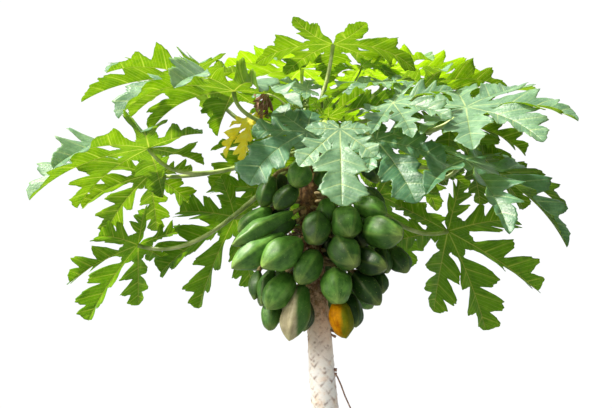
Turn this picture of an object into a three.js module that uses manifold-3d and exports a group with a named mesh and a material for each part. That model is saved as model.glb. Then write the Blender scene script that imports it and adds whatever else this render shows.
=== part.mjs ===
// Papaya tree in fruit: trunk, stalked fan leaves and the fruit round the trunk. Millimetres, +Z up.
// The origin is the middle of the flat cut at ground level.
import * as THREE from 'three';
import Module from 'manifold-3d';

const wasm = await Module();
wasm.setup();

// Gap left at every joint
const GAP = 0.3;

// Trunk: height, sideways lean and radius along it
const TRUNK_SIDES = 14;
const TRUNK_LEAN = [[0, 0], [700, -4], [1300, -18], [1840, -45], [2140, -66], [2630, -104], [2995, -101]];
const TRUNK_RADIUS = [
  [0, 112], [45, 98], [130, 86], [700, 70], [1300, 61],
  [1840, 52], [2140, 45], [2630, 42], [2900, 36], [2995, 16],
];

// Where the photograph was taken from, used to place the leaves by eye
const VIEW_DISTANCE = 4760;
const VIEW_PITCH = THREE.MathUtils.degToRad(14);
const VIEW_FOCAL = 1190;
const VIEW_TARGET = [-117, 0, 2650];
const VIEW_CENTRE = [306, 204];

// Petioles
const PETIOLE_BASE_RADIUS = 10;
const PETIOLE_END_RADIUS = 6;
const PETIOLE_SIDES = 5;
const PETIOLE_STEPS = 5;
const PETIOLE_REACH = 0.38;
const PETIOLE_START = 0.55;

// Leaf blade: seven lobes, each with two pairs of side lobes and a pointed end
const BLADE_THICKNESS = 8;
const LOBE_ANGLES = [-137, -92, -46, 0, 46, 92, 137];
const LOBE_LENGTHS = [0.56, 0.76, 0.93, 1, 0.93, 0.76, 0.56];
const VEIN_SWEEP = THREE.MathUtils.degToRad(48);
const SINUS = 0.22;
const STEM_SINUS = 0.07;
const STEM_HALF_ANGLE = THREE.MathUtils.degToRad(34);
const RIB_AT_SINUS = 0.13;
const SINUS_SHARE = 0.5;
const RIB_SHARE = 0.3;
const VEIN_REACH = [[0.38, 0.315], [0.52, 0.08], [0.6, 0.245], [0.72, 0.09], [0.82, 0.125], [1, 0]];
const SIDE_VEIN_REACH = [[0.42, 0.31], [0.6, 0.09], [0.7, 0.17], [1, 0]];
const FOLD = 0.18;
const RAY_STEPS = 10;

// Leaves: u, v and depth place the hub; heading, pitch and roll turn the blade, and size is its middle lobe.
// start, up and arrive are the petiole's height on the trunk and its rise at both ends.
// stem scales the lobes beside the petiole and thick the petiole. arms is the length of every lobe, bends
// scales its droop, and slim narrows lobes that would meet.
const LEAVES = {
  low_left: {
    u: 138, v: 245, depth: 150, heading: 158, pitch: -46, roll: 5, size: 370, droop: 0.4,
    start: 2850, up: -34, arrive: 5,
  },
  low_left_back: {
    u: 235, v: 217, depth: 330, heading: 138, pitch: -52, roll: 0, size: 420, droop: 0.3,
    start: 2842, up: -35, arrive: -10,
  },
  low_right: {
    u: 448, v: 231, depth: 150, heading: 40, pitch: -52, roll: 0, size: 460, droop: 0.3,
    start: 2858, up: -30, arrive: 10, slim: 0.9,
  },
  left_thick: {
    u: 149, v: 148, depth: 0, heading: 184, pitch: -10, roll: 3, size: 535, droop: 0.84,
    start: 2868, up: -9, arrive: 45,
  },
  left_under: {
    u: 149, v: 175, depth: 400, heading: 140, pitch: -30, roll: 10, size: 350, droop: 0.8,
    start: 2884, up: -6, arrive: -12, slim: 0.85,
  },
  upper_left: {
    u: 234, v: 91, depth: -130, heading: 194, pitch: 8, roll: -4, size: 520, droop: 1.1,
    start: 2896, up: 40, arrive: 75, arms: [0.5, 0.72, 0.93, 1, 0.93, 0.8, 0.66],
  },
  far_upper_left: {
    u: 200, v: 78, depth: 260, heading: 179, pitch: 3, roll: -3, size: 560, droop: 0.7,
    start: 2912, up: 11, arrive: 30,
  },
  top: {
    u: 333, v: 44, depth: 0, heading: 88, pitch: 4, roll: 0, size: 480, droop: 1,
    start: 2965, up: 75, arrive: 80, bends: [-2.2, 1.3, 1, 0.9, 1, 1.3, -2.2],
    arms: [0.42, 0.74, 0.8, 0.72, 0.68, 0.74, 0.52], slim: 0.8,
  },
  top_left_back: {
    u: 302, v: 69, depth: 430, heading: 156, pitch: 7, roll: 0, size: 440, droop: 0.8,
    start: 2938, up: 62, arrive: 40,
  },
  top_right_back: {
    u: 392, v: 71, depth: 400, heading: 30, pitch: 5, roll: 0, size: 460, droop: 0.8,
    start: 2952, up: 50, arrive: 40, slim: 0.9,
  },
  right_back: {
    u: 424, v: 86, depth: 260, heading: 15, pitch: 5, roll: -5, size: 420, droop: 0.9,
    start: 2930, up: 30, arrive: 30,
  },
  right_upper: {
    u: 466, v: 107, depth: -160, heading: -8, pitch: 5, roll: 38, size: 460, droop: 0.7,
    start: 2914, up: 13, arrive: 20,
  },
  right_lower: {
    u: 465, v: 160, depth: -120, heading: -17, pitch: -27, roll: 24, size: 560, droop: 0.9,
    start: 2878, up: -14, arrive: 45, stem: 0.6,
  },
  right_mid: {
    u: 470, v: 159, depth: 300, heading: 25, pitch: -20, roll: 0, size: 330, droop: 0.8,
    start: 2890, up: 0, arrive: 0,
  },
  right_inner: {
    u: 450, v: 122, depth: 330, heading: 40, pitch: -15, roll: 0, size: 380, droop: 0.8,
    start: 2912, up: 15, arrive: 10,
  },
  front: {
    u: 340, v: 129, depth: -510, heading: -90, pitch: -60, roll: 0, size: 375, droop: 0.5,
    start: 2882, up: 50, arrive: -40, arms: [0.17, 0.34, 0.64, 1, 0.5, 0.3, 0.17],
  },
  front_left: {
    u: 307, v: 132, depth: -235, heading: -150, pitch: -30, roll: -46, size: 360, droop: 0.7,
    start: 2858, up: 30, arrive: 20, arms: [0.4, 0.55, 0.62, 1, 0.52, 0.4, 0.3],
  },
  front_right: {
    u: 376, v: 140, depth: -200, heading: -46, pitch: -46, roll: 38, size: 350, droop: 0.5,
    start: 2862, up: 20, arrive: 10, arms: [0.3, 0.36, 0.55, 1, 0.84, 0.5, 0.3], slim: 0.9,
  },
  front_upper_right: {
    u: 393, v: 103, depth: -220, heading: -30, pitch: -12, roll: 45, size: 280, droop: 0.5,
    start: 2891, up: 34, arrive: 54,
  },
  inner_right: {
    u: 383, v: 82, depth: -90, heading: 175, pitch: -4, roll: -26, size: 310, droop: 0.8,
    start: 2946, up: 55, arrive: 60, arms: [0.56, 0.76, 0.93, 1, 0.8, 0.5, 0.35],
  },
  back_left: {
    u: 268, v: 146, depth: 440, heading: 108, pitch: -24, roll: 0, size: 350, droop: 0.8,
    start: 2876, up: 20, arrive: 15,
  },
  back_low_left: {
    u: 275, v: 190, depth: 560, heading: 112, pitch: -35, roll: 0, size: 410, droop: 0.5,
    start: 2862, up: -20, arrive: 5,
  },
  back_low_right: {
    u: 378, v: 195, depth: 560, heading: 62, pitch: -35, roll: 0, size: 410, droop: 0.5,
    start: 2850, up: -20, arrive: 5,
  },
  back_mid: {
    u: 322, v: 140, depth: 640, heading: 92, pitch: -15, roll: 0, size: 420, droop: 0.8,
    start: 2886, up: 15, arrive: 15,
  },
  back_right: {
    u: 402, v: 158, depth: 620, heading: 58, pitch: -12, roll: 0, size: 400, droop: 0.8,
    start: 2866, up: 12, arrive: 10, stem: 0.6, slim: 0.85,
  },
  back_top: {
    u: 318, v: 102, depth: 460, heading: 95, pitch: 0, roll: 0, size: 440, droop: 0.9,
    start: 2900, up: 45, arrive: 40,
  },
  withered: {
    u: 252, v: 118, depth: 30, heading: -112, pitch: -66, roll: 8, size: 230, droop: 1.5,
    start: 2925, up: 45, arrive: 0, thick: 0.6, arms: [0.22, 0.5, 0.85, 1, 0.62, 0.3, 0.2], slim: 0.8,
  },
};

// Fruit: three lumpy masses packed round the trunk, each a list of heights and radii
const FRUIT_SIDES = 18;
const FRUIT_LUMP = 0.07;
const FRUIT_LUMPS = 9;
const FRUIT_MASSES = {
  fruit_upper: [[2600, 60], [2600, 285], [2650, 255], [2700, 200], [2750, 135], [2775, 60]],
  fruit_middle: [[2330, 60], [2330, 275], [2400, 310], [2480, 330], [2560, 310], [2599, 290], [2599, 60]],
  fruit_lower: [[2080, 55], [2100, 105], [2200, 178], [2280, 228], [2329, 258], [2329, 60]],
};
const FRUIT_SHIFT = [[2080, -20], [2250, -8], [2480, 26], [2775, 0]];

const rad = THREE.MathUtils.degToRad;
const vec = (x, y, z) => new THREE.Vector3(x, y, z);
const DOWN = vec(0, 0, -1);

// The value at one key of a table of [key, value] rows, held level past both ends
function tableAt(table, at) {
  const next = table.findIndex(([key]) => key >= at);
  if (next === 0) return table[0][1];
  if (next < 0) return table[table.length - 1][1];
  const [k0, v0] = table[next - 1];
  const [k1, v1] = table[next];
  return v0 + (v1 - v0) * (at - k0) / (k1 - k0);
}

function smooth(x) {
  const t = Math.min(1, Math.max(0, x));
  return t * t * (3 - 2 * t);
}

// A repeatable number from -1 to 1 for one leaf and one of its features
function vary(number, feature) {
  const v = Math.sin(number * 12.9898 + feature * 78.233) * 43758.5453;
  return 2 * (v - Math.floor(v)) - 1;
}

// The point seen at u, v in the photograph at one depth behind the trunk
function placeOnView({ u, v, depth }) {
  const forward = vec(0, Math.cos(VIEW_PITCH), Math.sin(VIEW_PITCH));
  const up = vec(0, -Math.sin(VIEW_PITCH), Math.cos(VIEW_PITCH));
  const eye = vec(...VIEW_TARGET).addScaledVector(forward, -VIEW_DISTANCE);
  const ray = forward.clone().addScaledVector(up, (VIEW_CENTRE[1] - v) / VIEW_FOCAL);
  ray.x += (u - VIEW_CENTRE[0]) / VIEW_FOCAL;
  return eye.addScaledVector(ray, (depth - eye.y) / ray.y);
}

// Closed body from rings of points, each ring running the same way round, with a fan at both ends
function loft(rings) {
  const sides = rings[0].length;
  const points = rings.flat();
  const faces = [];
  for (let i = 0; i < rings.length - 1; i++) {
    for (let j = 0; j < sides; j++) {
      const a = i * sides + j;
      const b = i * sides + (j + 1) % sides;
      faces.push([a, b, b + sides], [a, b + sides, a + sides]);
    }
  }
  const last = (rings.length - 1) * sides;
  for (let j = 1; j < sides - 1; j++) {
    faces.push([0, j + 1, j], [last, last + j, last + j + 1]);
  }
  return { points, faces };
}

function toManifold({ points, faces }) {
  const vertProperties = new Float32Array(points.flatMap((p) => [p.x, p.y, p.z]));
  const triVerts = new Uint32Array(faces.flat());
  return new wasm.Manifold(new wasm.Mesh({ numProp: 3, vertProperties, triVerts }));
}

function toGeometry(solid) {
  const { numProp, vertProperties, triVerts } = solid.getMesh();
  const geometry = new THREE.BufferGeometry();
  const position = [];
  for (let i = 0; i < vertProperties.length; i += numProp) {
    position.push(vertProperties[i], vertProperties[i + 1], vertProperties[i + 2]);
  }
  geometry.setAttribute('position', new THREE.Float32BufferAttribute(position, 3));
  geometry.setIndex(Array.from(triVerts));
  return geometry;
}

// Trunk
function trunkSolid(extra) {
  const heights = TRUNK_RADIUS.map(([z]) => z);
  const levels = [...heights, ...TRUNK_LEAN.map(([z]) => z)];
  const sorted = [...new Set(levels)].sort((a, b) => a - b);
  const rings = sorted.map((z) => {
    const r = tableAt(TRUNK_RADIUS, z) + extra;
    const x = tableAt(TRUNK_LEAN, z);
    return Array.from({ length: TRUNK_SIDES }, (_, j) => {
      const a = (2 * Math.PI * j) / TRUNK_SIDES;
      return vec(x + r * Math.cos(a), r * Math.sin(a), z);
    });
  });
  return toManifold(loft(rings));
}

// Leaf blade
function bladeFrame({ heading, pitch, roll }) {
  const [h, p, r] = [rad(heading), rad(pitch), rad(roll)];
  const along = vec(Math.cos(h) * Math.cos(p), Math.sin(h) * Math.cos(p), Math.sin(p));
  const flatSide = vec(-Math.sin(h), Math.cos(h), 0);
  const flatUp = along.clone().cross(flatSide);
  const side = flatSide.clone().multiplyScalar(Math.cos(r)).addScaledVector(flatUp, Math.sin(r));
  const up = flatUp.clone().multiplyScalar(Math.cos(r)).addScaledVector(flatSide, -Math.sin(r));
  return { along, side, up };
}

function lobeScale(leaf, i) {
  const besideStem = i === 0 || i === LOBE_ANGLES.length - 1;
  return (leaf.arms ?? LOBE_LENGTHS)[i] * (besideStem ? leaf.stem ?? 1 : 1);
}

function lobesOf(leaf, number) {
  return LOBE_ANGLES.map((angle, i) => ({
    angle: rad(angle + 4 * vary(number, i)),
    length: lobeScale(leaf, i) * leaf.size * (1 + 0.05 * vary(number, 10 + i)),
    droop: leaf.droop * (leaf.bends?.[i] ?? 1) * (1 + 0.18 * vary(number, 20 + i)),
    reach: Math.abs(angle) > 90 ? SIDE_VEIN_REACH : VEIN_REACH,
    twist: rad(14 * vary(number, 30 + i)),
    sickle: 0.05 * vary(number, 40 + i),
  }));
}

// A point and its direction at distance r along the ray at one angle, which sags from the hub
function rayAt(blade, r, angle) {
  const droop = tableAt(blade.lobes.map((l) => [l.angle, l.droop]), angle);
  const t = blade.along.clone().multiplyScalar(Math.cos(angle)).addScaledVector(blade.side, Math.sin(angle));
  const point = blade.hub.clone();
  const step = r / RAY_STEPS;
  for (let k = 0; k < RAY_STEPS; k++) {
    point.addScaledVector(t, step / 2);
    const bend = droop * (0.25 + 1.7 * ((k + 0.5) * step) / blade.size) * step / blade.size;
    const pull = DOWN.clone().addScaledVector(t, t.z);
    t.addScaledVector(pull, bend).normalize();
    point.addScaledVector(t, step / 2);
  }
  return { point, t };
}

// The blade point that lies a along a lobe's rib and b to its left, and the blade's direction up there
function bladeAt(blade, i, a, b) {
  const lobe = blade.lobes[i];
  const r = Math.hypot(a, b);
  const inner = rayAt(blade, r, lobe.angle + Math.atan2(b, a)).point;
  const { point, t } = rayAt(blade, Math.max(a, 0.001), lobe.angle);
  const left = rayAt(blade, Math.max(a, 0.001), lobe.angle + 0.01).point;
  const right = rayAt(blade, Math.max(a, 0.001), lobe.angle - 0.01).point;
  const side = left.sub(right).normalize();
  const up = t.clone().cross(side).normalize();
  const share = a / lobe.length;
  const turn = lobe.twist * smooth((share - 0.2) / 0.8);
  const bow = lobe.sickle * lobe.length * Math.max(0, share - 0.2) ** 2;
  const lift = FOLD * Math.abs(b) * smooth(share / 0.5);
  point.addScaledVector(side, bow + b * Math.cos(turn)).addScaledVector(up, b * Math.sin(turn) + lift);
  return { point: inner.lerp(point, smooth((r / blade.size - SINUS) / (0.6 * SINUS))), up };
}

// How far from the hub the margin of a lobe leaves the sinuses beside it
function ribAtSinus(blade, i) {
  return Math.min(RIB_AT_SINUS * blade.size, RIB_SHARE * blade.lobes[i].length);
}

// Where the margin lies that a side vein reaches from one share of the rib
function marginAt(blade, i, side, share, reach) {
  const lobe = blade.lobes[i];
  const next = blade.lobes[i + side];
  const half = next ? Math.abs(next.angle - lobe.angle) / 2 : STEM_HALF_ANGLE;
  const shorter = Math.min(lobe.length, next ? next.length : lobe.length);
  const sinus = next ? Math.min(SINUS * blade.size, SINUS_SHARE * shorter) : STEM_SINUS * blade.size;
  const rib = ribAtSinus(blade, i);
  const [sx, sy] = [sinus * Math.cos(half), sinus * Math.sin(half)];
  if (share === null) return bladeAt(blade, i, sx, side * sy).point;
  const first = Math.atan2(sy, sx - rib);
  const sweep = first + (VEIN_SWEEP - first) * smooth((share - rib / lobe.length) / 0.1);
  const w = reach * lobe.length;
  return bladeAt(blade, i, share * lobe.length + w * Math.cos(sweep), side * w * Math.sin(sweep)).point;
}

// One lobe of the body: its rib points on top and below, its margin points, and the faces between them
function addLobe(body, blade, i, number) {
  const lobe = blade.lobes[i];
  const half = BLADE_THICKNESS / 2;
  const shares = [ribAtSinus(blade, i) / lobe.length, ...lobe.reach.map(([s]) => s)];
  const ribs = shares.slice(0, -1).map((s) => {
    const { point, up } = bladeAt(blade, i, s * lobe.length, 0);
    const below = point.clone().addScaledVector(up, -half);
    return [body.add(point.addScaledVector(up, half)), body.add(below)];
  });
  ribs.push(Array(2).fill(body.add(bladeAt(blade, i, lobe.length, 0).point)));
  for (const side of [-1, 1]) {
    const margins = [body.sinuses[side < 0 ? i : i + 1]];
    lobe.reach.slice(0, -1).forEach(([s, w]) => {
      const reach = w * blade.slim * (1 + 0.1 * vary(number * 7 + i, s * 100 + side));
      margins.push(body.add(marginAt(blade, i, side, s, reach)));
    });
    const rim = margins.map((m) => [m, m]);
    body.addPair(side, body.hub, ribs[0], rim[0]);
    for (let k = 0; k < rim.length - 1; k++) {
      body.addPair(side, ribs[k], ribs[k + 1], rim[k + 1]);
      body.addPair(side, ribs[k], rim[k + 1], rim[k]);
    }
    body.addPair(side, ribs[rim.length - 1], ribs[rim.length], rim[rim.length - 1]);
  }
}

// Lens-shaped body: a rib line on top and below, and one sharp margin round all lobes
function bladeSolid(leaf, number) {
  const blade = {
    ...bladeFrame(leaf), hub: leaf.hub, size: leaf.size, slim: leaf.slim ?? 1, lobes: lobesOf(leaf, number),
  };
  const half = BLADE_THICKNESS / 2;
  const points = [];
  const faces = [];
  const body = {
    add: (point) => points.push(point) - 1,
    // The same face on top and, turned over, below
    addPair: (side, a, b, c) => {
      const [p, q] = side > 0 ? [b, c] : [c, b];
      faces.push([a[0], p[0], q[0]], [q[1], p[1], a[1]]);
    },
  };
  const above = body.add(leaf.hub.clone().addScaledVector(blade.up, half));
  const below = body.add(leaf.hub.clone().addScaledVector(blade.up, -half));
  body.hub = [above, below];
  const last = blade.lobes.length - 1;
  body.sinuses = blade.lobes.map((_, k) => body.add(marginAt(blade, k, -1, null)));
  body.sinuses.push(body.add(marginAt(blade, last, 1, null)));
  blade.lobes.forEach((_, i) => addLobe(body, blade, i, number));
  faces.push([above, below, body.sinuses[0]], [above, body.sinuses[last + 1], below]);
  return toManifold({ points, faces });
}

// Petiole
function petiolePath(leaf, blade) {
  const trunkX = tableAt(TRUNK_LEAN, leaf.start);
  const end = leaf.hub.clone().addScaledVector(blade.up, -(BLADE_THICKNESS / 2 + GAP));
  const out = vec(end.x - trunkX, end.y, 0).normalize();
  const r = tableAt(TRUNK_RADIUS, leaf.start) * PETIOLE_START;
  const base = vec(trunkX, 0, leaf.start).addScaledVector(out, r);
  const span = base.distanceTo(end);
  const direction = (rise) => out.clone().multiplyScalar(Math.cos(rad(rise))).setZ(Math.sin(rad(rise)));
  const leave = base.clone().addScaledVector(direction(leaf.up), span * PETIOLE_REACH);
  const arrive = direction(leaf.arrive).addScaledVector(blade.up, 0.6).normalize();
  const reach = end.clone().addScaledVector(arrive, -span * PETIOLE_REACH);
  return new THREE.CubicBezierCurve3(base, leave, reach, end);
}

function petioleSolid(leaf, trunk) {
  const blade = bladeFrame(leaf);
  const path = petiolePath(leaf, blade);
  let side = null;
  const rings = Array.from({ length: PETIOLE_STEPS + 1 }, (_, k) => {
    const share = k / PETIOLE_STEPS;
    const t = k === PETIOLE_STEPS ? blade.up : path.getTangent(share);
    // Each ring carries on the turn of the one before
    side = side ? side.clone().addScaledVector(t, -side.dot(t)).normalize() : vec(-t.y, t.x, 0).normalize();
    const over = t.clone().cross(side);
    const taper = PETIOLE_BASE_RADIUS + (PETIOLE_END_RADIUS - PETIOLE_BASE_RADIUS) * share;
    const r = taper * (leaf.thick ?? 1);
    return Array.from({ length: PETIOLE_SIDES }, (_, j) => {
      const a = (2 * Math.PI * j) / PETIOLE_SIDES;
      const point = path.getPoint(share).addScaledVector(side, r * Math.cos(a));
      return point.addScaledVector(over, r * Math.sin(a));
    });
  });
  return toManifold(loft(rings)).subtract(trunk);
}

// Fruit
function fruitSolid(profile, number, trunk) {
  const rings = profile.map(([z, r]) => {
    const x = tableAt(TRUNK_LEAN, z) + tableAt(FRUIT_SHIFT, z);
    return Array.from({ length: FRUIT_SIDES }, (_, j) => {
      const a = (2 * Math.PI * j) / FRUIT_SIDES;
      const lump = 1 + FRUIT_LUMP * Math.cos(FRUIT_LUMPS * a + number * Math.PI);
      return vec(x + r * lump * Math.cos(a), r * lump * Math.sin(a), z);
    });
  });
  return toManifold(loft(rings)).subtract(trunk);
}

const group = new THREE.Group();

function addPart(name, solid, material) {
  const mesh = new THREE.Mesh(toGeometry(solid), new THREE.MeshStandardMaterial(material));
  mesh.name = name;
  group.add(mesh);
}

const BARK = { color: 0xcfc2ad, roughness: 0.9, metalness: 0 };
const STALK = { color: 0x9aab5c, roughness: 0.6, metalness: 0 };
const LEAF = { color: 0x5c8a2c, roughness: 0.6, metalness: 0 };
const DRY_LEAF = { color: 0xd8c25a, roughness: 0.8, metalness: 0 };
const FRUIT = { color: 0x33631f, roughness: 0.4, metalness: 0 };

addPart('trunk', trunkSolid(0), BARK);
const trunkWithGap = trunkSolid(GAP);
Object.entries(LEAVES).forEach(([name, row], index) => {
  const leaf = { ...row, hub: placeOnView(row) };
  addPart(`petiole_${name}`, petioleSolid(leaf, trunkWithGap), STALK);
  addPart(`blade_${name}`, bladeSolid(leaf, index + 1), name === 'withered' ? DRY_LEAF : LEAF);
});
Object.entries(FRUIT_MASSES).forEach(([name, profile], index) => {
  addPart(name, fruitSolid(profile, index, trunkWithGap), FRUIT);
});

export default group;
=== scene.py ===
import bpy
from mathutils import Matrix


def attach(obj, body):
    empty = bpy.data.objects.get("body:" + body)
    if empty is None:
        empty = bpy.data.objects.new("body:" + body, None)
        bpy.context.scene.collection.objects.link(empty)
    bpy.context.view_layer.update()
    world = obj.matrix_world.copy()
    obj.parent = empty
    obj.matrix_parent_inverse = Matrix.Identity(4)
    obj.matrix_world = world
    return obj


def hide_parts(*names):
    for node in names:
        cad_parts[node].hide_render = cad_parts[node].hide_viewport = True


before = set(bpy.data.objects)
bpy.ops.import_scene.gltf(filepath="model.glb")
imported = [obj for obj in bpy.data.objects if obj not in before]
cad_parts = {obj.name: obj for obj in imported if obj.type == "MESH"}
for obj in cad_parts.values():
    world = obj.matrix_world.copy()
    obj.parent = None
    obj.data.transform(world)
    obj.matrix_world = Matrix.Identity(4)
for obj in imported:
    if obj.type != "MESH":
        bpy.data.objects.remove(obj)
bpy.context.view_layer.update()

import bmesh
import bpy
import numpy as np

# The view: a camera 4.8 m from the crown, at chest height and looking 14 degrees up at it, over a grey floor
# and under the bright even sky and the soft high sun of a hazy day.
VIEW_TARGET = np.array([-0.117, 0.0, 2.650])
VIEW_DISTANCE = 4.760
VIEW_PITCH = np.radians(14)
VIEW_LENS, VIEW_SENSOR, VIEW_PIXELS = 70.0, 36.0, (612, 408)
SUNS = {"sun": (8.5, 5.0, (14.0, -28.0, 0.0)), "bright_haze": (3.0, 50.0, (56.0, 0.0, -60.0))}
SKY_BEHIND, SKY_IN_FRONT, SKY_FADE = 1.05, 0.30, (-0.5, 0.6)
FLOOR_RADIUS, FLOOR_SIDES = 60.0, 64

view_forward = np.array([0, np.cos(VIEW_PITCH), np.sin(VIEW_PITCH)])
view_up = np.array([0, -np.sin(VIEW_PITCH), np.cos(VIEW_PITCH)])
view_eye = VIEW_TARGET - VIEW_DISTANCE * view_forward


def seen_at(u, v, depth):
    """The point at pixel u, v of the photograph that lies depth metres behind the trunk."""
    focal = VIEW_LENS / VIEW_SENSOR * VIEW_PIXELS[0]
    ray = view_forward - view_up * (v - VIEW_PIXELS[1] / 2) / focal
    ray = ray + np.array([(u - VIEW_PIXELS[0] / 2) / focal, 0, 0])
    return view_eye + ray * (depth - view_eye[1]) / ray[1]


def linear(colour, alpha=1.0):
    """A colour written as sRGB hex, as the shader's linear values."""
    part = np.array([int(colour[i:i + 2], 16) for i in (1, 3, 5)]) / 255
    part = np.where(part <= 0.04045, part / 12.92, ((part + 0.055) / 1.055) ** 2.4)
    return (*map(float, part), alpha)


def add(tree, kind, inputs=None, stops=None, **settings):
    """Adds a node. inputs holds a value or a socket for each input, and stops the colours of a ramp."""
    node = tree.nodes.new(kind)
    for key, value in settings.items():
        setattr(node, key, value)
    for key, value in (inputs or {}).items():
        if isinstance(value, bpy.types.NodeSocket):
            tree.links.new(value, node.inputs[key])
        else:
            node.inputs[key].default_value = value
    if stops:
        elements = node.color_ramp.elements
        while len(elements) < len(stops):
            elements.new(0.5)
        for element, (place, colour) in zip(elements, stops):
            element.position, element.color = place, linear(colour)
    return node


def ranged(tree, value, low, high, start=0.0, end=1.0, kind="LINEAR"):
    """What goes from start to end as the value goes from low to high."""
    inputs = {"Value": value, "From Min": low, "From Max": high, "To Min": start, "To Max": end}
    return add(tree, "ShaderNodeMapRange", inputs, interpolation_type=kind).outputs[0]


def blank_material(name):
    """A new material with no nodes yet, and its node tree."""
    material = bpy.data.materials.new(name)
    material.use_nodes = True
    material.node_tree.nodes.clear()
    return material, material.node_tree


def show(name, mesh):
    piece = bpy.data.objects.new(name, mesh)
    bpy.context.scene.collection.objects.link(piece)
    return piece


camera = bpy.data.objects.new("camera", bpy.data.cameras.new("camera"))
camera.data.lens, camera.data.sensor_width = VIEW_LENS, VIEW_SENSOR
camera.location = view_eye
camera.rotation_euler = (np.pi / 2 + VIEW_PITCH, 0, 0)
bpy.context.scene.collection.objects.link(camera)
bpy.context.scene.camera = camera
bpy.context.scene.view_settings.view_transform = "Standard"

# A white backdrop behind the tree that fades to the dimmer room behind the camera
sky = bpy.data.worlds.new("backdrop")
sky.use_nodes = True
sky.node_tree.nodes.clear()
way = add(sky.node_tree, "ShaderNodeTexCoord").outputs["Generated"]
way = add(sky.node_tree, "ShaderNodeSeparateXYZ", {"Vector": way}).outputs["Y"]
strength = ranged(sky.node_tree, way, *SKY_FADE, SKY_IN_FRONT, SKY_BEHIND, "SMOOTHSTEP")
glow = add(sky.node_tree, "ShaderNodeBackground", {"Color": linear("#FDFEFF"), "Strength": strength})
add(sky.node_tree, "ShaderNodeOutputWorld", {"Surface": glow.outputs[0]})
bpy.context.scene.world = sky

# Two soft lamps: the high sun, and the wide bright haze low at the left
for name, (strength, spread, turn) in SUNS.items():
    lamp = bpy.data.objects.new(name, bpy.data.lights.new(name, "SUN"))
    lamp.data.energy, lamp.data.angle = strength, np.radians(spread)
    lamp.data.color = linear("#FFF9EE")[:3]
    lamp.rotation_euler = np.radians(turn)
    bpy.context.scene.collection.objects.link(lamp)

# Smooth matt concrete: an even grey with no gloss
floor_paint, tree = blank_material("matt_concrete")
skin = add(tree, "ShaderNodeBsdfPrincipled", {"Base Color": linear("#707276"), "Roughness": 0.95})
add(tree, "ShaderNodeOutputMaterial", {"Surface": skin.outputs["BSDF"]})
floor_mesh = bpy.data.meshes.new("floor")
around = np.linspace(0, 2 * np.pi, FLOOR_SIDES, endpoint=False)
rim = np.stack([np.cos(around), np.sin(around), around * 0], 1) * FLOOR_RADIUS
floor_mesh.from_pydata(rim, [], [range(FLOOR_SIDES)])
floor_mesh.materials.append(floor_paint)
show("floor", floor_mesh)

# Trunk: a soft unbranched stem, cut flat at the ground. Each leaf that fell left a shield-shaped scar with a
# sharp lower edge, in a spiral, and a dark bud over it. The bark is cream; its tan just under the fruit and
# its brown among them are partly its own colour and partly painted shade of the fruit.
TRUNK_LEAN = [
    (0, 0), (0.7, -0.004), (1.3, -0.018), (1.84, -0.045), (2.14, -0.066), (2.63, -0.104), (2.995, -0.101),
]
TRUNK_RADIUS = [
    (0, 0.110), (0.045, 0.096), (0.13, 0.085), (0.7, 0.069), (1.3, 0.060),
    (1.84, 0.0515), (2.14, 0.0455), (2.63, 0.0415), (2.9, 0.0355), (2.995, 0.016),
]
TRUNK_RINGS, TRUNK_SIDES = 700, 110
# The trunk's unevenness: its depth, and its waves round the trunk and up each metre
TRUNK_WAVES = [(0.0012, 2, 7), (0.0009, 3, -23)]
FLARE_HEIGHT, FLARE_DEPTH, FLARE_RIBS, FLARE_TURN = 0.09, 0.010, 6, 0.6
SCAR_LEVELS, SCAR_RISE, SCAR_TURN, SCAR_TURN_SPREAD = (0.05, 2.93), 0.0056, np.radians(137.5), 0.13
SCAR_HALF_WIDTH, SCAR_HEIGHT, SCAR_RELIEF, SCAR_EDGE, SCAR_LINE = 0.020, 0.021, 0.0034, 0.0030, 0.0038
SCAR_SIZES, SCAR_LINE_SHARES, SCAR_LINE_DEPTH = (0.75, 1.25), (0.5, 1), 0.0010
# Shares of a scar's height that are over and under its middle, and how far from it anything of it is drawn
SCAR_OVER, SCAR_UNDER, SCAR_REACH = 0.4, 0.6, 0.05
# Scars get smaller towards this height, over this span under it
SCAR_SHRINK_TO, SCAR_SHRINK_SPAN = 2.6, 0.6
BUD_HALF_WIDTH, BUD_HALF_HEIGHT, BUD_PLACE, BUD_SHARES, BUD_RELIEF = 0.006, 0.005, 0.35, (-1.2, 1), 0.002
FRUIT_SCARS, FRUIT_SCAR_LEVELS, FRUIT_SCAR_SIZES, FRUIT_SCAR_RELIEF = 34, (2.20, 2.86), (0.010, 0.017), 0.0025
# Heights between which the bark turns tan and brown, partly its own colour and partly painted shade of the
# fruit, and green, and how far across its patterns are
TAN_AND_SHADE_FROM_TO, BROWN_AND_SHADE_FROM_TO, GREEN_FROM_TO = (2.12, 2.36), (2.54, 2.70), (2.85, 3.05)
PATCH_SIZE, FLECK_SIZE, CHIP_SIZE, CRACK_SIZE, GRAIN_SIZE = 0.045, 0.020, 0.014, 0.016, 0.006
CRACK_SQUASH, GRAIN_SQUASH = 5, 2.4


def along(table, at):
    return np.interp(at, *zip(*table))


def smooth(x):
    x = np.clip(x, 0, 1)
    return x * x * (3 - 2 * x)


def grid_faces(rows, columns, closed=False):
    """Quads of a grid of points, running round when it is closed."""
    i, j = np.meshgrid(np.arange(rows - 1), np.arange(columns if closed else columns - 1), indexing="ij")
    next_j = (j + 1) % columns
    quad = [i * columns + j, i * columns + next_j, (i + 1) * columns + next_j, (i + 1) * columns + j]
    return np.stack([q.ravel() for q in quad], 1)


def set_attribute(mesh, name, values, kind="FLOAT"):
    layer = mesh.attributes.new(name, kind, "POINT")
    field = "vector" if kind == "FLOAT_VECTOR" else "value"
    layer.data.foreach_set(field, np.ravel(values).astype(np.float32))


def turned(angle):
    """The same angle, between minus and plus half a turn."""
    return np.mod(angle + np.pi, 2 * np.pi) - np.pi


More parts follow.
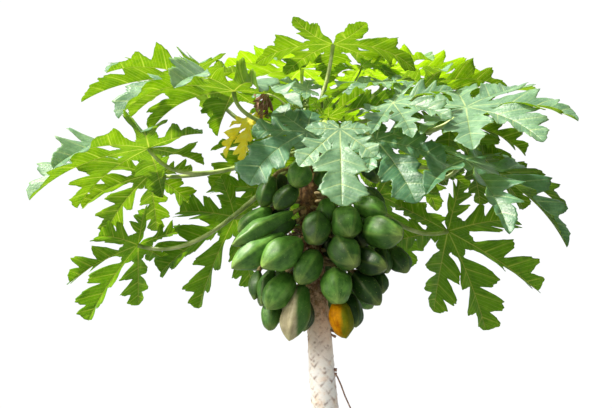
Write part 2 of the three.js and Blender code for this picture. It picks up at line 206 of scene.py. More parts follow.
heights = np.linspace(0, TRUNK_RADIUS[-1][0], TRUNK_RINGS)
angles = np.linspace(-np.pi, np.pi, TRUNK_SIDES, endpoint=False)
level, turn = np.meshgrid(heights, angles, indexing="ij")
girth = along(TRUNK_RADIUS, level)
flare = FLARE_DEPTH * (1 - np.cos(FLARE_RIBS * turn + FLARE_TURN)) / 2
girth = girth - flare * np.exp(-((level / FLARE_HEIGHT) ** 2))
for depth, waves_round, waves_up in TRUNK_WAVES:
    girth = girth + depth * np.sin(waves_round * turn + waves_up * level)
relief, scar, bud_spot = np.zeros((3, *level.shape))
rng = np.random.default_rng(7)
for number, scar_level in enumerate(np.arange(*SCAR_LEVELS, SCAR_RISE)):
    centre = number * SCAR_TURN + rng.normal(0, SCAR_TURN_SPREAD)
    shrink = smooth((SCAR_SHRINK_TO - scar_level) / SCAR_SHRINK_SPAN)
    size = rng.uniform(*SCAR_SIZES) * (0.8 + 0.2 * shrink)
    near = slice(*np.searchsorted(heights, [scar_level - SCAR_REACH, scar_level + SCAR_REACH]))
    x = turned(turn[near] - centre) * girth[near]
    y = level[near] - scar_level
    rise = SCAR_HEIGHT * size / (SCAR_HALF_WIDTH * size)
    lower = (rise * np.abs(x) - (y + SCAR_UNDER * SCAR_HEIGHT * size)) / np.hypot(1, rise)
    edge = np.maximum(lower, y - SCAR_OVER * SCAR_HEIGHT * size)
    fade = np.clip((SCAR_OVER * SCAR_HEIGHT * size - y) / (SCAR_HEIGHT * size), 0, 1)
    raised = SCAR_RELIEF * smooth(-edge / SCAR_EDGE) * fade
    relief[near] = np.maximum(relief[near], raised)
    # A line along the scar's raised lower edge: partly the scar's brown rim, partly painted shade under its
    # step
    line = np.exp(-((lower / SCAR_LINE) ** 2)) * (y < SCAR_OVER * SCAR_HEIGHT * size)
    line = line * (0.35 + 0.65 * fade) * rng.uniform(*SCAR_LINE_SHARES)
    scar[near] = np.maximum(scar[near], line)
    spot = np.hypot(x / BUD_HALF_WIDTH, (y - BUD_PLACE * SCAR_HEIGHT * size) / BUD_HALF_HEIGHT)
    bud_spot[near] = np.maximum(bud_spot[near], smooth(1.4 - spot) * rng.uniform(*BUD_SHARES))
# Round scars where fruit hung
fruit_scar = np.zeros(level.shape)
for _ in range(FRUIT_SCARS):
    x = turned(turn - rng.uniform(-np.pi, np.pi)) * girth
    away = np.hypot(x, 0.8 * (level - rng.uniform(*FRUIT_SCAR_LEVELS))) / rng.uniform(*FRUIT_SCAR_SIZES)
    fruit_scar = np.maximum(fruit_scar, smooth(2 * (1.3 - away)))
girth = girth + relief + BUD_RELIEF * bud_spot - SCAR_LINE_DEPTH * scar + FRUIT_SCAR_RELIEF * fruit_scar
points = np.stack([along(TRUNK_LEAN, level) + girth * np.cos(turn), girth * np.sin(turn), level], -1)
points = points.reshape(-1, 3)
trunk_mesh = bpy.data.meshes.new("trunk_bark")
faces = grid_faces(TRUNK_RINGS, TRUNK_SIDES, closed=True).tolist()
faces += [list(range(TRUNK_SIDES))[::-1], list(range(len(points) - TRUNK_SIDES, len(points)))]
trunk_mesh.from_pydata(points, [], faces)
trunk_mesh.shade_smooth()
set_attribute(trunk_mesh, "scar_line", scar)
set_attribute(trunk_mesh, "bud_spot", bud_spot)
set_attribute(trunk_mesh, "fruit_scar", fruit_scar)


def noise(tree, place, size, detail, roughness=0.5):
    """Noise whose lumps are about size metres across."""
    inputs = {"Vector": place, "Scale": 1 / size, "Detail": detail, "Roughness": roughness}
    return add(tree, "ShaderNodeTexNoise", inputs).outputs["Fac"]


def stretched(tree, place, times):
    """The same place with heights scaled, which flattens what is drawn there."""
    return add(tree, "ShaderNodeMapping", {"Vector": place, "Scale": (1, 1, times)}).outputs[0]


def attribute(tree, name):
    """What the piece's points hold under this name."""
    return add(tree, "ShaderNodeAttribute", attribute_name=name).outputs["Fac"]


def calc(tree, operation, *values):
    """The result of a sum on numbers and sockets."""
    return add(tree, "ShaderNodeMath", dict(enumerate(values)), operation=operation).outputs[0]


def ramp(tree, share, *stops):
    """The colours of these stops, by share."""
    return add(tree, "ShaderNodeValToRGB", {"Fac": share}, stops).outputs[0]


def mixed(tree, share, first, second):
    """The first colour, turned to the second by share."""
    return add(tree, "ShaderNodeMix", {0: share, 6: first, 7: second}, data_type="RGBA").outputs[2]


def skin_over(tree, colour, roughness, height, strength, distance, more=None):
    """Ends a material in one opaque skin with this bump."""
    rough = add(tree, "ShaderNodeBump", {"Height": height, "Strength": strength, "Distance": distance})
    skin = add(tree, "ShaderNodeBsdfPrincipled", {
        "Base Color": colour, "Roughness": roughness, "Normal": rough.outputs[0], **(more or {})})
    add(tree, "ShaderNodeOutputMaterial", {"Surface": skin.outputs["BSDF"]})


# Papaya bark: smooth and matt, cream with tan patches, tan just under the fruit and brown among them (partly
# the bark's own colour, partly painted shade of the fruit) and green at the tip, with brown along the scars
# (partly painted shade under their raised lower edges) and over the buds
bark, tree = blank_material("papaya_bark")
place = add(tree, "ShaderNodeTexCoord").outputs["Object"]
high = add(tree, "ShaderNodeSeparateXYZ", {"Vector": place}).outputs["Z"]
patches = noise(tree, place, PATCH_SIZE, 5.0, 0.6)
ragged = calc(tree, "MULTIPLY_ADD", patches, 0.25, high)
cream = ramp(tree, patches, (0.27, "#DCBE9E"), (0.37, "#F8E8D8"), (0.48, "#FFFAF2"), (0.72, "#FFFFFE"))
# Tan just under the fruit: partly the bark's own colour, partly painted shade of the fruit
cream = mixed(tree, ranged(tree, ragged, *TAN_AND_SHADE_FROM_TO, 0.0, 0.85), cream, linear("#E8BC88"))
# Flecks that break up the edge of the brown
flecks = noise(tree, place, FLECK_SIZE, 4.0, 0.7)
# Brown among the fruit: partly the bark's own colour, partly painted shade of the fruit
brown = ramp(tree, flecks, (0.34, "#2E2010"), (0.5, "#6A4C2A"), (0.62, "#987444"), (0.75, "#BC9C64"))
brown = mixed(tree, attribute(tree, "fruit_scar"), brown, linear("#C8A672"))
shaded = ranged(tree, calc(tree, "MULTIPLY_ADD", flecks, 0.70, high), *BROWN_AND_SHADE_FROM_TO)
bark_and_painted_shade = mixed(tree, shaded, cream, brown)
bark_and_painted_shade = mixed(tree, ranged(tree, ragged, *GREEN_FROM_TO), bark_and_painted_shade, linear("#7E8A4C"))
# Brown along each scar's lower edge: partly the scar's own rim, partly painted shade under its raised step
chipped = ranged(tree, noise(tree, place, CHIP_SIZE, 3.0), 0.38, 0.58, 0.2, 1.0)
line_share = calc(tree, "MULTIPLY", attribute(tree, "scar_line"), chipped)
lined = mixed(tree, line_share, bark_and_painted_shade, linear("#7C4E28"))
# Fine cross cracks a millimetre high, drawn 3 mm high so that they show
cracks = noise(tree, stretched(tree, place, CRACK_SQUASH), CRACK_SIZE, 3.0, 0.7)
lined = mixed(tree, ranged(tree, cracks, 0.56, 0.72, 0.0, 0.32), lined, linear("#B08A6C"))
spot_share = calc(tree, "MULTIPLY", attribute(tree, "bud_spot"), 0.75)
spotted = mixed(tree, spot_share, lined, linear("#7A5034"))
grain = noise(tree, stretched(tree, place, GRAIN_SQUASH), GRAIN_SIZE, 4.0)
skin_over(tree, spotted, 0.86, grain, 0.55, 0.0016)
trunk_mesh.materials.append(bark)
trunk = show("trunk_bark", trunk_mesh)
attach(trunk, "root")
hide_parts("trunk")

# Leaf stalks: long hollow green tubes that leave the trunk all round its top, swollen where they clasp it and
# where they carry the blade.
PETIOLE_BASE, PETIOLE_END, PETIOLE_STEPS, PETIOLE_SIDES = 0.0105, 0.0076, 34, 10
PETIOLE_SWELL, PETIOLE_SWELL_LENGTH, END_SWELL, END_SWELL_LENGTH = 0.55, 0.030, 0.25, 0.02
PETIOLE_REACH, PETIOLE_START, PETIOLE_TURN_IN, BLADE_SEAT = 0.38, 0.55, 0.6, 0.0043
PETIOLE_STREAK_SIZE, PETIOLE_GRAIN_SIZE = 0.05, 0.004
# u, v and depth place the end of a leaf's stalk, start is the height at which it leaves the trunk, and up and
# arrive are how steeply it climbs at its two ends. heading, pitch and roll turn the blade, size is the length
# of its middle lobe, droop is how much it sags, and age names its colours.
LEAF_COLUMNS = (
    "u", "v", "depth", "heading", "pitch", "roll", "size", "droop", "start", "up", "arrive", "age",
)
# Leaves given the darker set of colours for the crown's shade have that shade painted into their colours
LEAF_ROWS = {
    "low_left": (138, 245, 0.150, 158, -46, 5, 0.370, 0.4, 2.850, -34, 5, "old"),
    "low_left_back": (235, 217, 0.330, 138, -52, 0, 0.420, 0.3, 2.842, -35, -10, "old"),
    "low_right": (448, 231, 0.150, 40, -52, 0, 0.460, 0.3, 2.858, -30, 10, "old"),
    "left_thick": (149, 148, 0.000, 184, -10, 3, 0.535, 0.84, 2.868, -9, 45, "full"),
    "left_under": (149, 175, 0.400, 140, -30, 10, 0.350, 0.8, 2.884, -6, -12, "full"),
    "upper_left": (234, 91, -0.130, 194, 8, -4, 0.520, 1.1, 2.896, 40, 75, "full"),
    "far_upper_left": (200, 78, 0.260, 179, 3, -3, 0.560, 0.7, 2.912, 11, 30, "full"),
    "top": (333, 44, 0.000, 88, 4, 0, 0.480, 1.0, 2.965, 75, 80, "full"),
    "top_left_back": (302, 69, 0.43, 156, 7, 0, 0.44, 0.8, 2.938, 62, 40, "young"),
    "top_right_back": (392, 71, 0.40, 30, 5, 0, 0.460, 0.8, 2.952, 50, 40, "young"),
    "right_back": (424, 86, 0.260, 15, 5, -5, 0.420, 0.9, 2.930, 30, 30, "full"),
    "right_upper": (466, 107, -0.160, -8, 5, 38, 0.460, 0.7, 2.914, 13, 20, "full"),
    "right_lower": (465, 160, -0.120, -17, -27, 24, 0.560, 0.9, 2.878, -14, 45, "painted_shade"),
    "right_mid": (470, 159, 0.300, 25, -20, 0, 0.330, 0.8, 2.890, 0, 0, "painted_shade"),
    "right_inner": (450, 122, 0.330, 40, -15, 0, 0.380, 0.8, 2.912, 15, 10, "painted_shade"),
    "front": (340, 129, -0.510, -90, -60, 0, 0.375, 0.5, 2.882, 50, -40, "full"),
    "front_left": (307, 132, -0.235, -150, -30, -46, 0.360, 0.7, 2.858, 30, 20, "painted_shade"),
    "front_right": (376, 140, -0.200, -46, -46, 38, 0.350, 0.5, 2.862, 20, 10, "painted_shade"),
    "front_upper_right": (393, 103, -0.220, -30, -12, 45, 0.280, 0.5, 2.891, 34, 54, "full"),
    "inner_right": (383, 82, -0.090, 175, -4, -26, 0.310, 0.8, 2.946, 55, 60, "full"),
    "back_left": (268, 146, 0.440, 108, -24, 0, 0.350, 0.8, 2.876, 20, 15, "full"),
    "back_low_left": (275, 190, 0.560, 112, -35, 0, 0.410, 0.5, 2.862, -20, 5, "old"),
    "back_low_right": (378, 195, 0.560, 62, -35, 0, 0.410, 0.5, 2.850, -20, 5, "old"),
    "back_mid": (322, 140, 0.640, 92, -15, 0, 0.420, 0.8, 2.886, 15, 15, "full"),
    "back_right": (402, 158, 0.620, 58, -12, 0, 0.400, 0.8, 2.866, 12, 10, "full"),
    "back_top": (318, 102, 0.460, 95, 0, 0, 0.440, 0.9, 2.900, 45, 40, "young"),
    "withered": (252, 118, 0.030, -112, -66, 8, 0.230, 1.5, 2.925, 45, 0, "withered"),
}
# stem shortens the lobes beside the stalk, and arms sets all seven. bends scales how much each one sags,
# twist or twists turn the lobes about their ribs, and fold shuts them. kind names the side lobes, cut deepens
# the bays, blunt rounds the side lobes, broad and sweep set how far and which way they reach. thick scales
# the stalk.
LEAF_EXTRAS = {
    "upper_left": {"arms": (0.5, 0.72, 0.93, 1, 0.93, 0.8, 0.66), "fold": 0.6, "cut": 0.6,
                   "twists": (0, -38, -38, -38, -38, -38, 45)},
    "left_thick": {"fold": 0.6, "cut": 0.7, "twist": -38},
    "far_upper_left": {"fold": 0.5, "cut": 0.7, "twist": -8},
    "top_left_back": {"fold": 0.5},
    "top_right_back": {"fold": 0.5},
    "top": {"arms": (0.42, 0.74, 0.8, 0.72, 0.68, 0.74, 0.52), "bends": (-2.2, 1.3, 1, 0.9, 1, 1.3, -2.2),
            "fold": 0.12, "cut": 0.6},
    "inner_right": {"arms": (0.56, 0.76, 0.93, 1, 0.8, 0.5, 0.35)},
    "right_upper": {"cut": 0.5, "fold": 0.3, "broad": 1.1},
    "right_lower": {"stem": 0.6, "fold": 0.6, "broad": 0.85},
    "low_right": {"fold": 0.5, "kind": "deep"},
    "low_left": {"fold": 0.5, "kind": "deep"},
    "low_left_back": {"fold": 0.5, "kind": "deep"},
    "left_under": {"fold": 0.5, "kind": "deep"},
    "right_mid": {"kind": "deep"},
    "right_inner": {"kind": "deep"},
    "back_low_left": {"kind": "deep"},
    "back_low_right": {"kind": "deep"},
    "back_right": {"stem": 0.6},
    "front": {"arms": (0.17, 0.34, 0.64, 1, 0.50, 0.30, 0.17), "fold": 0.15, "cut": 0.9, "sweep": 62,
              "blunt": 1.0, "kind": "plain"},
    "front_left": {"arms": (0.4, 0.55, 0.62, 1, 0.52, 0.4, 0.3), "cut": 0.4, "fold": 0.2, "broad": 1.1,
                   "sweep": 58, "kind": "plain"},
    "front_right": {"arms": (0.3, 0.36, 0.55, 1, 0.84, 0.5, 0.3), "cut": 0.6, "fold": 0.25, "sweep": 58,
                    "blunt": 0.5, "kind": "plain"},
    "withered": {"thick": 0.6, "fold": 0.55, "arms": (0.22, 0.5, 0.85, 1, 0.62, 0.3, 0.2)},
}


def unit(v):
    return v / np.maximum(np.linalg.norm(v, axis=-1, keepdims=True), 1e-12)


def blade_frame(leaf):
    """Directions along the middle lobe, to its left, and out of the upper side."""
    h, p, r = np.radians([leaf["heading"], leaf["pitch"], leaf["roll"]])
    ahead = np.array([np.cos(h) * np.cos(p), np.sin(h) * np.cos(p), np.sin(p)])
    flat_side = np.array([-np.sin(h), np.cos(h), 0])
    flat_up = np.cross(ahead, flat_side)
    return ahead, np.cos(r) * flat_side + np.sin(r) * flat_up, np.cos(r) * flat_up - np.sin(r) * flat_side


def bent_line(start, leave, arrive, end, count):
    """Points of the curve that leaves start towards one point and comes to end from another."""
    t = np.linspace(0, 1, count)[:, None]
    return (1 - t) ** 3 * start + 3 * (1 - t) ** 2 * t * leave + 3 * (1 - t) * t * t * arrive + t ** 3 * end


def petiole_path(leaf):
    """The stalk's middle line, from inside the trunk to the seat under the blade."""
    blade_up = blade_frame(leaf)[2]
    end = leaf["hub"] - blade_up * BLADE_SEAT
    trunk_x = along(TRUNK_LEAN, leaf["start"])
    out = unit(np.array([end[0] - trunk_x, end[1], 0]))
    base = np.array([trunk_x, 0, leaf["start"]]) + out * along(TRUNK_RADIUS, leaf["start"]) * PETIOLE_START
    span = np.linalg.norm(end - base)
    leave_rise, arrive_rise = np.radians([leaf["up"], leaf["arrive"]])
    leave = base + (out * np.cos(leave_rise) + [0, 0, np.sin(leave_rise)]) * span * PETIOLE_REACH
    arrive = unit(out * np.cos(arrive_rise) + [0, 0, np.sin(arrive_rise)] + PETIOLE_TURN_IN * blade_up)
    return bent_line(base, leave, end - arrive * span * PETIOLE_REACH, end, PETIOLE_STEPS + 1)


def lines_mesh(name, lines):
    """A mesh of open lines, each a list of points with the line's radius there."""
    mesh = bpy.data.meshes.new(name)
    counts = [len(line) for line, _ in lines]
    starts = np.cumsum([0] + counts[:-1])
    edges = [(s + k, s + k + 1) for s, n in zip(starts, counts) for k in range(n - 1)]
    mesh.from_pydata(np.concatenate([line for line, _ in lines]), edges, [])
    set_attribute(mesh, "girth", np.concatenate([radius for _, radius in lines]))
    return mesh


def node_tree_with(name, sockets):
    """An empty Geometry Nodes tree with a geometry in and out and the named inputs."""
    tree = bpy.data.node_groups.new(name, "GeometryNodeTree")
    tree.interface.new_socket("Geometry", in_out="INPUT", socket_type="NodeSocketGeometry")
    for label, kind in sockets.items():
        tree.interface.new_socket(label, in_out="INPUT", socket_type="NodeSocket" + kind)
    tree.interface.new_socket("Geometry", in_out="OUTPUT", socket_type="NodeSocketGeometry")
    return tree, tree.nodes.new("NodeGroupInput").outputs


def applied(piece):
    """The piece's mesh with its modifiers carried out."""
    depsgraph = bpy.context.evaluated_depsgraph_get()
    return bpy.data.meshes.new_from_object(
        piece.evaluated_get(depsgraph), preserve_all_data_layers=True, depsgraph=depsgraph)


def grow(mesh, tree, **sizes):
    """Runs a Geometry Nodes tree with these inputs over a mesh, and gives the result as a plain mesh."""
    carrier = show(mesh.name + "_guide", mesh)
    modifier = carrier.modifiers.new("grow", "NODES")
    modifier.node_group = tree
    for item in tree.interface.items_tree:
        if item.in_out == "INPUT" and item.name in sizes:
            modifier[item.identifier] = sizes[item.name]
    grown = applied(carrier)
    carrier.modifiers.remove(modifier)
    bpy.data.objects.remove(carrier)
    return grown


def swept(tree, curve, ring):
    """A smooth capped tube: the ring carried along the curve, as wide as the curve's radius."""
    width = add(tree, "GeometryNodeInputRadius").outputs[0]
    inputs = {"Curve": curve, "Profile Curve": ring, "Scale": width, "Fill Caps": True}
    tube = add(tree, "GeometryNodeCurveToMesh", inputs)
    return add(tree, "GeometryNodeSetShadeSmooth", {"Geometry": tube.outputs[0]}).outputs[0]


# A round tube along every line, as thick as its points say
tube_tree, given = node_tree_with("tubes_along_lines", {"Sides": "Int", "Finish": "Material"})
radius = add(tube_tree, "GeometryNodeInputNamedAttribute", {"Name": "girth"}, data_type="FLOAT").outputs[0]
curve = add(tube_tree, "GeometryNodeMeshToCurve", {"Mesh": given["Geometry"]})
curve = add(tube_tree, "GeometryNodeSetCurveRadius", {"Curve": curve.outputs[0], "Radius": radius})
ring = add(tube_tree, "GeometryNodeCurvePrimitiveCircle", {"Resolution": given["Sides"], "Radius": 1.0})
tube = swept(tube_tree, curve.outputs[0], ring.outputs[0])
tube = add(tube_tree, "GeometryNodeRealizeInstances", {"Geometry": tube})
tube = add(tube_tree, "GeometryNodeSetMaterial", {"Geometry": tube.outputs[0], "Material": given["Finish"]})
add(tube_tree, "NodeGroupOutput", {"Geometry": tube.outputs[0]})

# Papaya petiole: a smooth waxy pale green skin with faint darker streaks
stalk_skin, tree = blank_material("papaya_petiole_skin")
place = add(tree, "ShaderNodeTexCoord").outputs["Object"]
streaks = noise(tree, place, PETIOLE_STREAK_SIZE, 4.0)
tone = ramp(tree, streaks, (0.32, "#667E2E"), (0.5, "#92A652"), (0.68, "#BCC884"))
wax = {"Coat Weight": 0.15, "Coat Roughness": 0.35}
skin_over(tree, tone, 0.42, noise(tree, place, PETIOLE_GRAIN_SIZE, 2.0), 0.2, 0.0006, wax)

leaves = {name: dict(zip(LEAF_COLUMNS, row), **LEAF_EXTRAS.get(name, {})) for name, row in LEAF_ROWS.items()}
for name, leaf in leaves.items():
    leaf["hub"] = seen_at(leaf["u"], leaf["v"], leaf["depth"])
    path = petiole_path(leaf)
    run = np.concatenate([[0], np.cumsum(np.linalg.norm(np.diff(path, axis=0), axis=1))])
    share = run / run[-1]
    radius = (PETIOLE_BASE + (PETIOLE_END - PETIOLE_BASE) * share) * leaf.get("thick", 1)
    radius = radius * (1 + PETIOLE_SWELL * np.exp(-((run / PETIOLE_SWELL_LENGTH) ** 2)))
    radius = radius * (1 + END_SWELL * np.exp(-(((run[-1] - run) / END_SWELL_LENGTH) ** 2)))
    guide = lines_mesh("petiole_line_" + name, [(path, radius)])
    stalk = show("stalk_" + name, grow(guide, tube_tree, Sides=PETIOLE_SIDES, Finish=stalk_skin))
    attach(stalk, "root")
    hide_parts("petiole_" + name)

# Leaf blades: thin fans of seven lobes, each cut again into pointed side lobes and folded a little along its
# rib. Cream ribs run from the stalk to every tip, the surface swells between them, and light shines through.
LOBE_ANGLES = np.array([-137, -92, -46, 0, 46, 92, 137])
LOBE_LENGTHS = np.array([0.56, 0.76, 0.93, 1, 0.93, 0.76, 0.56])
SWEEP, STEM_HALF_ANGLE = 50, np.radians(34)
SINUS, STEM_SINUS, RIB_AT_SINUS = 0.22, 0.07, 0.13
SINUS_SHARE, RIB_SHARE = 0.5, 0.3
# Where along the rib the side lobes' tips and the notches between them are, and how far out they reach
SIDE_LOBES = {
    "usual": [(0.37, 0.335), (0.51, 0.125), (0.6, 0.265), (0.71, 0.115), (0.8, 0.160), (1, 0)],
    "short": [(0.42, 0.33), (0.6, 0.13), (0.7, 0.19), (1, 0)],
    "plain": [(0.42, 0.31), (0.57, 0.15), (0.73, 0.27), (1, 0)],
    "simple": [(0.40, 0.30), (0.60, 0.27), (1, 0)],
    "deep": [(0.40, 0.29), (0.53, 0.095), (0.65, 0.29), (0.77, 0.11), (0.86, 0.175), (1, 0)],
}
WAIST, WAIST_PLACE = {"usual": 0.86, "short": 0.86, "plain": 0.86, "simple": 0.86, "deep": 0.6}, 0.40
SIMPLE_BELOW, NOTCH_FILL = 0.45, 0.35
FOLD, CUT, RAY_STEPS, ACROSS, STEP_ALONG = 0.40, 1.0, 10, 6, 0.020
SMALL_LEAF_STEPS = (2, 0.06)
# How far one lobe may differ from the rule: angle and twist in degrees, the others as shares
ANGLE_VARIES, TWIST_VARIES, LENGTH_VARIES, DROOP_VARIES, SICKLE_VARIES = 4, 14, 0.05, 0.18, 0.05
TIP_PLACE_VARIES, TIP_REACH_VARIES = 0.018, 0.12
SAG_AT_HUB, SAG_GROWS, FOLD_BY, TWIST_FROM, BESIDE = 0.25, 1.7, 0.4, 0.2, 0.01
# The margin's small waves: their height and how often they come along the rib, which vary from lobe to lobe
TEETH, SMALL_TEETH = (0.05, 61), (0.035, 133)
SWELL, RUFFLE, RUFFLE_WAVES, USUAL_SIZE = 0.0015, 0.010, 3.7, 0.45
BLADE_THICKNESS = 0.0011
RIB, SIDE_VEIN, THIN_VEIN, VEIN_SINK = 0.0066, 0.0042, 0.6, 0.0009
RIB_AT_TIP, RIB_TAPER, RIB_AT_MOST, VEIN_TAPER = 0.22, 1.1, 0.4, 0.75
# How round the notches and how blunt the side lobes are, and how soon along the rib margin and relief begin
NOTCH_ROUND, BLUNT_LEAST, BLUNT_MORE, SHOULDER, TIP_SHARP = 0.12, 0.62, 0.36, 2.3, 0.8
SWEEP_BY, MARGIN_BY, RELIEF_BY, SWELL_SKEW = 0.1, 0.02, 0.12, 0.7
BLOTCH_SIZE, CELL_SIZE, FINE_VEIN_GAP, FINE_VEIN_WIDTH = 0.05, 0.014, 0.017, 0.0026


def vary(number, feature):
    """A repeatable number from -1 to 1 for one leaf and one of its features."""
    v = np.sin(number * 12.9898 + feature * 78.233) * 43758.5453
    return 2 * (v - np.floor(v)) - 1


def lobes_of(leaf, number):
    """Angle, length, sag, twist and sideways bend of a leaf's lobes, from its row and its own variation."""
    i = np.arange(7)
    stem = np.where((i == 0) | (i == 6), leaf.get("stem", 1), 1)
    length = np.array(leaf.get("arms", LOBE_LENGTHS)) * stem * leaf["size"]
    twist = np.array(leaf.get("twists", leaf.get("twist", 0) * (np.abs(LOBE_ANGLES) < 100)))
    return {
        "angle": np.radians(LOBE_ANGLES + ANGLE_VARIES * vary(number, i)),
        "length": length * (1 + LENGTH_VARIES * vary(number, 10 + i)),
        "droop": leaf["droop"] * np.array(leaf.get("bends", 1)) * (1 + DROOP_VARIES * vary(number, 20 + i)),
        "twist": np.radians(TWIST_VARIES * vary(number, 30 + i) + twist),
        "sickle": SICKLE_VARIES * vary(number, 40 + i),
    }


def rays(leaf, r, angle):
    """Points and directions at distance r along rays that leave the hub at an angle and sag."""
    ahead, side, _ = blade_frame(leaf)
    droop = np.interp(angle, leaf["lobes"]["angle"], leaf["lobes"]["droop"])
    t = np.cos(angle)[..., None] * ahead + np.sin(angle)[..., None] * side
    point = np.broadcast_to(leaf["hub"], t.shape).copy()
    step = r / RAY_STEPS
    for k in range(RAY_STEPS):
        point = point + t * step[..., None] / 2
        bend = droop * (SAG_AT_HUB + SAG_GROWS * (k + 0.5) * step / leaf["size"]) * step / leaf["size"]
        t = unit(t + (t * t[..., 2:] - [0, 0, 1]) * bend[..., None])
        point = point + t * step[..., None] / 2
    return point, t


def on_blade(leaf, i, a, b):
    """Points that lie a along lobe i's rib and b to its left, and the blade's direction up there."""
    lobes = leaf["lobes"]
    angle, length = lobes["angle"][i], lobes["length"][i]
    r = np.hypot(a, b)
    inner = rays(leaf, r, angle + np.arctan2(b, a))[0]
    at = np.maximum(a, 1e-6)
    point, t = rays(leaf, at, np.full(a.shape, angle))
    left, right = (rays(leaf, at, np.full(a.shape, angle + beside))[0] for beside in (BESIDE, -BESIDE))
    side = unit(left - right)
    up = unit(np.cross(t, side))
    share = a / length
    fold = np.sign(b) * leaf.get("fold", FOLD) * smooth(share / FOLD_BY)
    turn = lobes["twist"][i] * smooth((share - TWIST_FROM) / (1 - TWIST_FROM)) + fold
    bow = lobes["sickle"][i] * length * np.maximum(0, share - TWIST_FROM) ** 2
    outer = point + side * (bow + b * np.cos(turn))[..., None] + up * (b * np.sin(turn))[..., None]
    mix = smooth((r / leaf["size"] - SINUS) / (0.6 * SINUS))[..., None]
    return inner * (1 - mix) + outer * mix, up


def rib_at_sinus(leaf, i):
    """How far from the hub the margin of lobe i leaves the sinuses beside it."""
    return min(RIB_AT_SINUS * leaf["size"], RIB_SHARE * leaf["lobes"]["length"][i])


def outline_knots(leaf, number, i, side):
    """Where along the rib the margin of one side turns, how far out it is there, and where its tips are."""
    lobes = leaf["lobes"]
    length, size, cut = lobes["length"][i], leaf["size"], leaf.get("cut", CUT)
    beside = 0 <= i + side < 7
    half = abs(lobes["angle"][i + side] - lobes["angle"][i]) / 2 if beside else STEM_HALF_ANGLE
    shorter = min(length, lobes["length"][i + side]) if beside else length
    sinus = min(SINUS * size, SINUS_SHARE * shorter) if beside else STEM_SINUS * size
    rib = rib_at_sinus(leaf, i)
    corner = np.array([sinus * np.cos(half), sinus * np.sin(half)])
    kind = leaf.get("kind", "short" if abs(LOBE_ANGLES[i]) > 90 else "usual")
    kind = "simple" if length < SIMPLE_BELOW * size else kind
    table = SIDE_LOBES[kind]
    start = (rib / length, np.hypot(corner[0] - rib, corner[1]) / length)
    waist_place = start[0] + WAIST_PLACE * (table[0][0] - start[0])
    knots = [start, (waist_place, start[1] * (1 + (WAIST[kind] - 1) * cut))]
    for k, (s, w) in enumerate(table):
        notch = k % 2 == 1
        shift = TIP_PLACE_VARIES * vary(number * 5 + i, k * 3 + side) if s < 1 else 0
        reach = w * (1 + TIP_REACH_VARIES * vary(number * 7 + i, s * 100 + side)) * leaf.get("broad", 1)
        knots.append((s + shift, reach * (1 + NOTCH_FILL * (1 - cut)) if notch else reach))
    return np.array(knots), corner, [s for s, _ in knots[2:-1:2]]


def margin(leaf, i, side, knots, corner, s):
    """Blade-plane points of the margin that the side veins reach from each share s of the rib."""
    length, rib = leaf["lobes"]["length"][i], rib_at_sinus(leaf, i)
    k = np.clip(np.searchsorted(knots[:, 0], s, side="right") - 1, 0, len(knots) - 2)
    (s0, w0), (s1, w1) = knots[k].T, knots[k + 1].T
    x = np.clip((s - s0) / (s1 - s0), 0, 1)
    from_low = np.where(w1 > w0, x, 1 - x)
    round_low = (1 + NOTCH_ROUND) * from_low ** 2 / (from_low + NOTCH_ROUND)
    blunt = BLUNT_LEAST + BLUNT_MORE * leaf.get("blunt", 1 if leaf.get("kind") == "deep" else 0.5)
    shoulder = blunt * (1 - (1 - round_low) ** SHOULDER) + (1 - blunt) * round_low
    rise = np.where(k == len(knots) - 2, from_low ** TIP_SHARP, np.where(k == 0, smooth(from_low), shoulder))
    w = (np.minimum(w0, w1) + np.abs(w1 - w0) * rise) * length
    wave = TEETH[0] * np.sin(s * TEETH[1] + 9 * vary(i, side))
    w = w * (1 + wave + SMALL_TEETH[0] * np.sin(s * SMALL_TEETH[1] + 5 * side))
    first = np.arctan2(corner[1], corner[0] - rib)
    sweep = first + (np.radians(leaf.get("sweep", SWEEP)) - first) * smooth((s - knots[0, 0]) / SWEEP_BY)
    inside = s <= knots[0, 0]
    share = s / knots[0, 0]
    w = np.where(inside, 0, w * smooth((s - knots[0, 0]) / MARGIN_BY + 1))
    a = np.where(inside, corner[0] * share, s * length + w * np.cos(sweep))
    b = np.where(inside, corner[1] * share, w * np.sin(sweep))
    return a, side * b


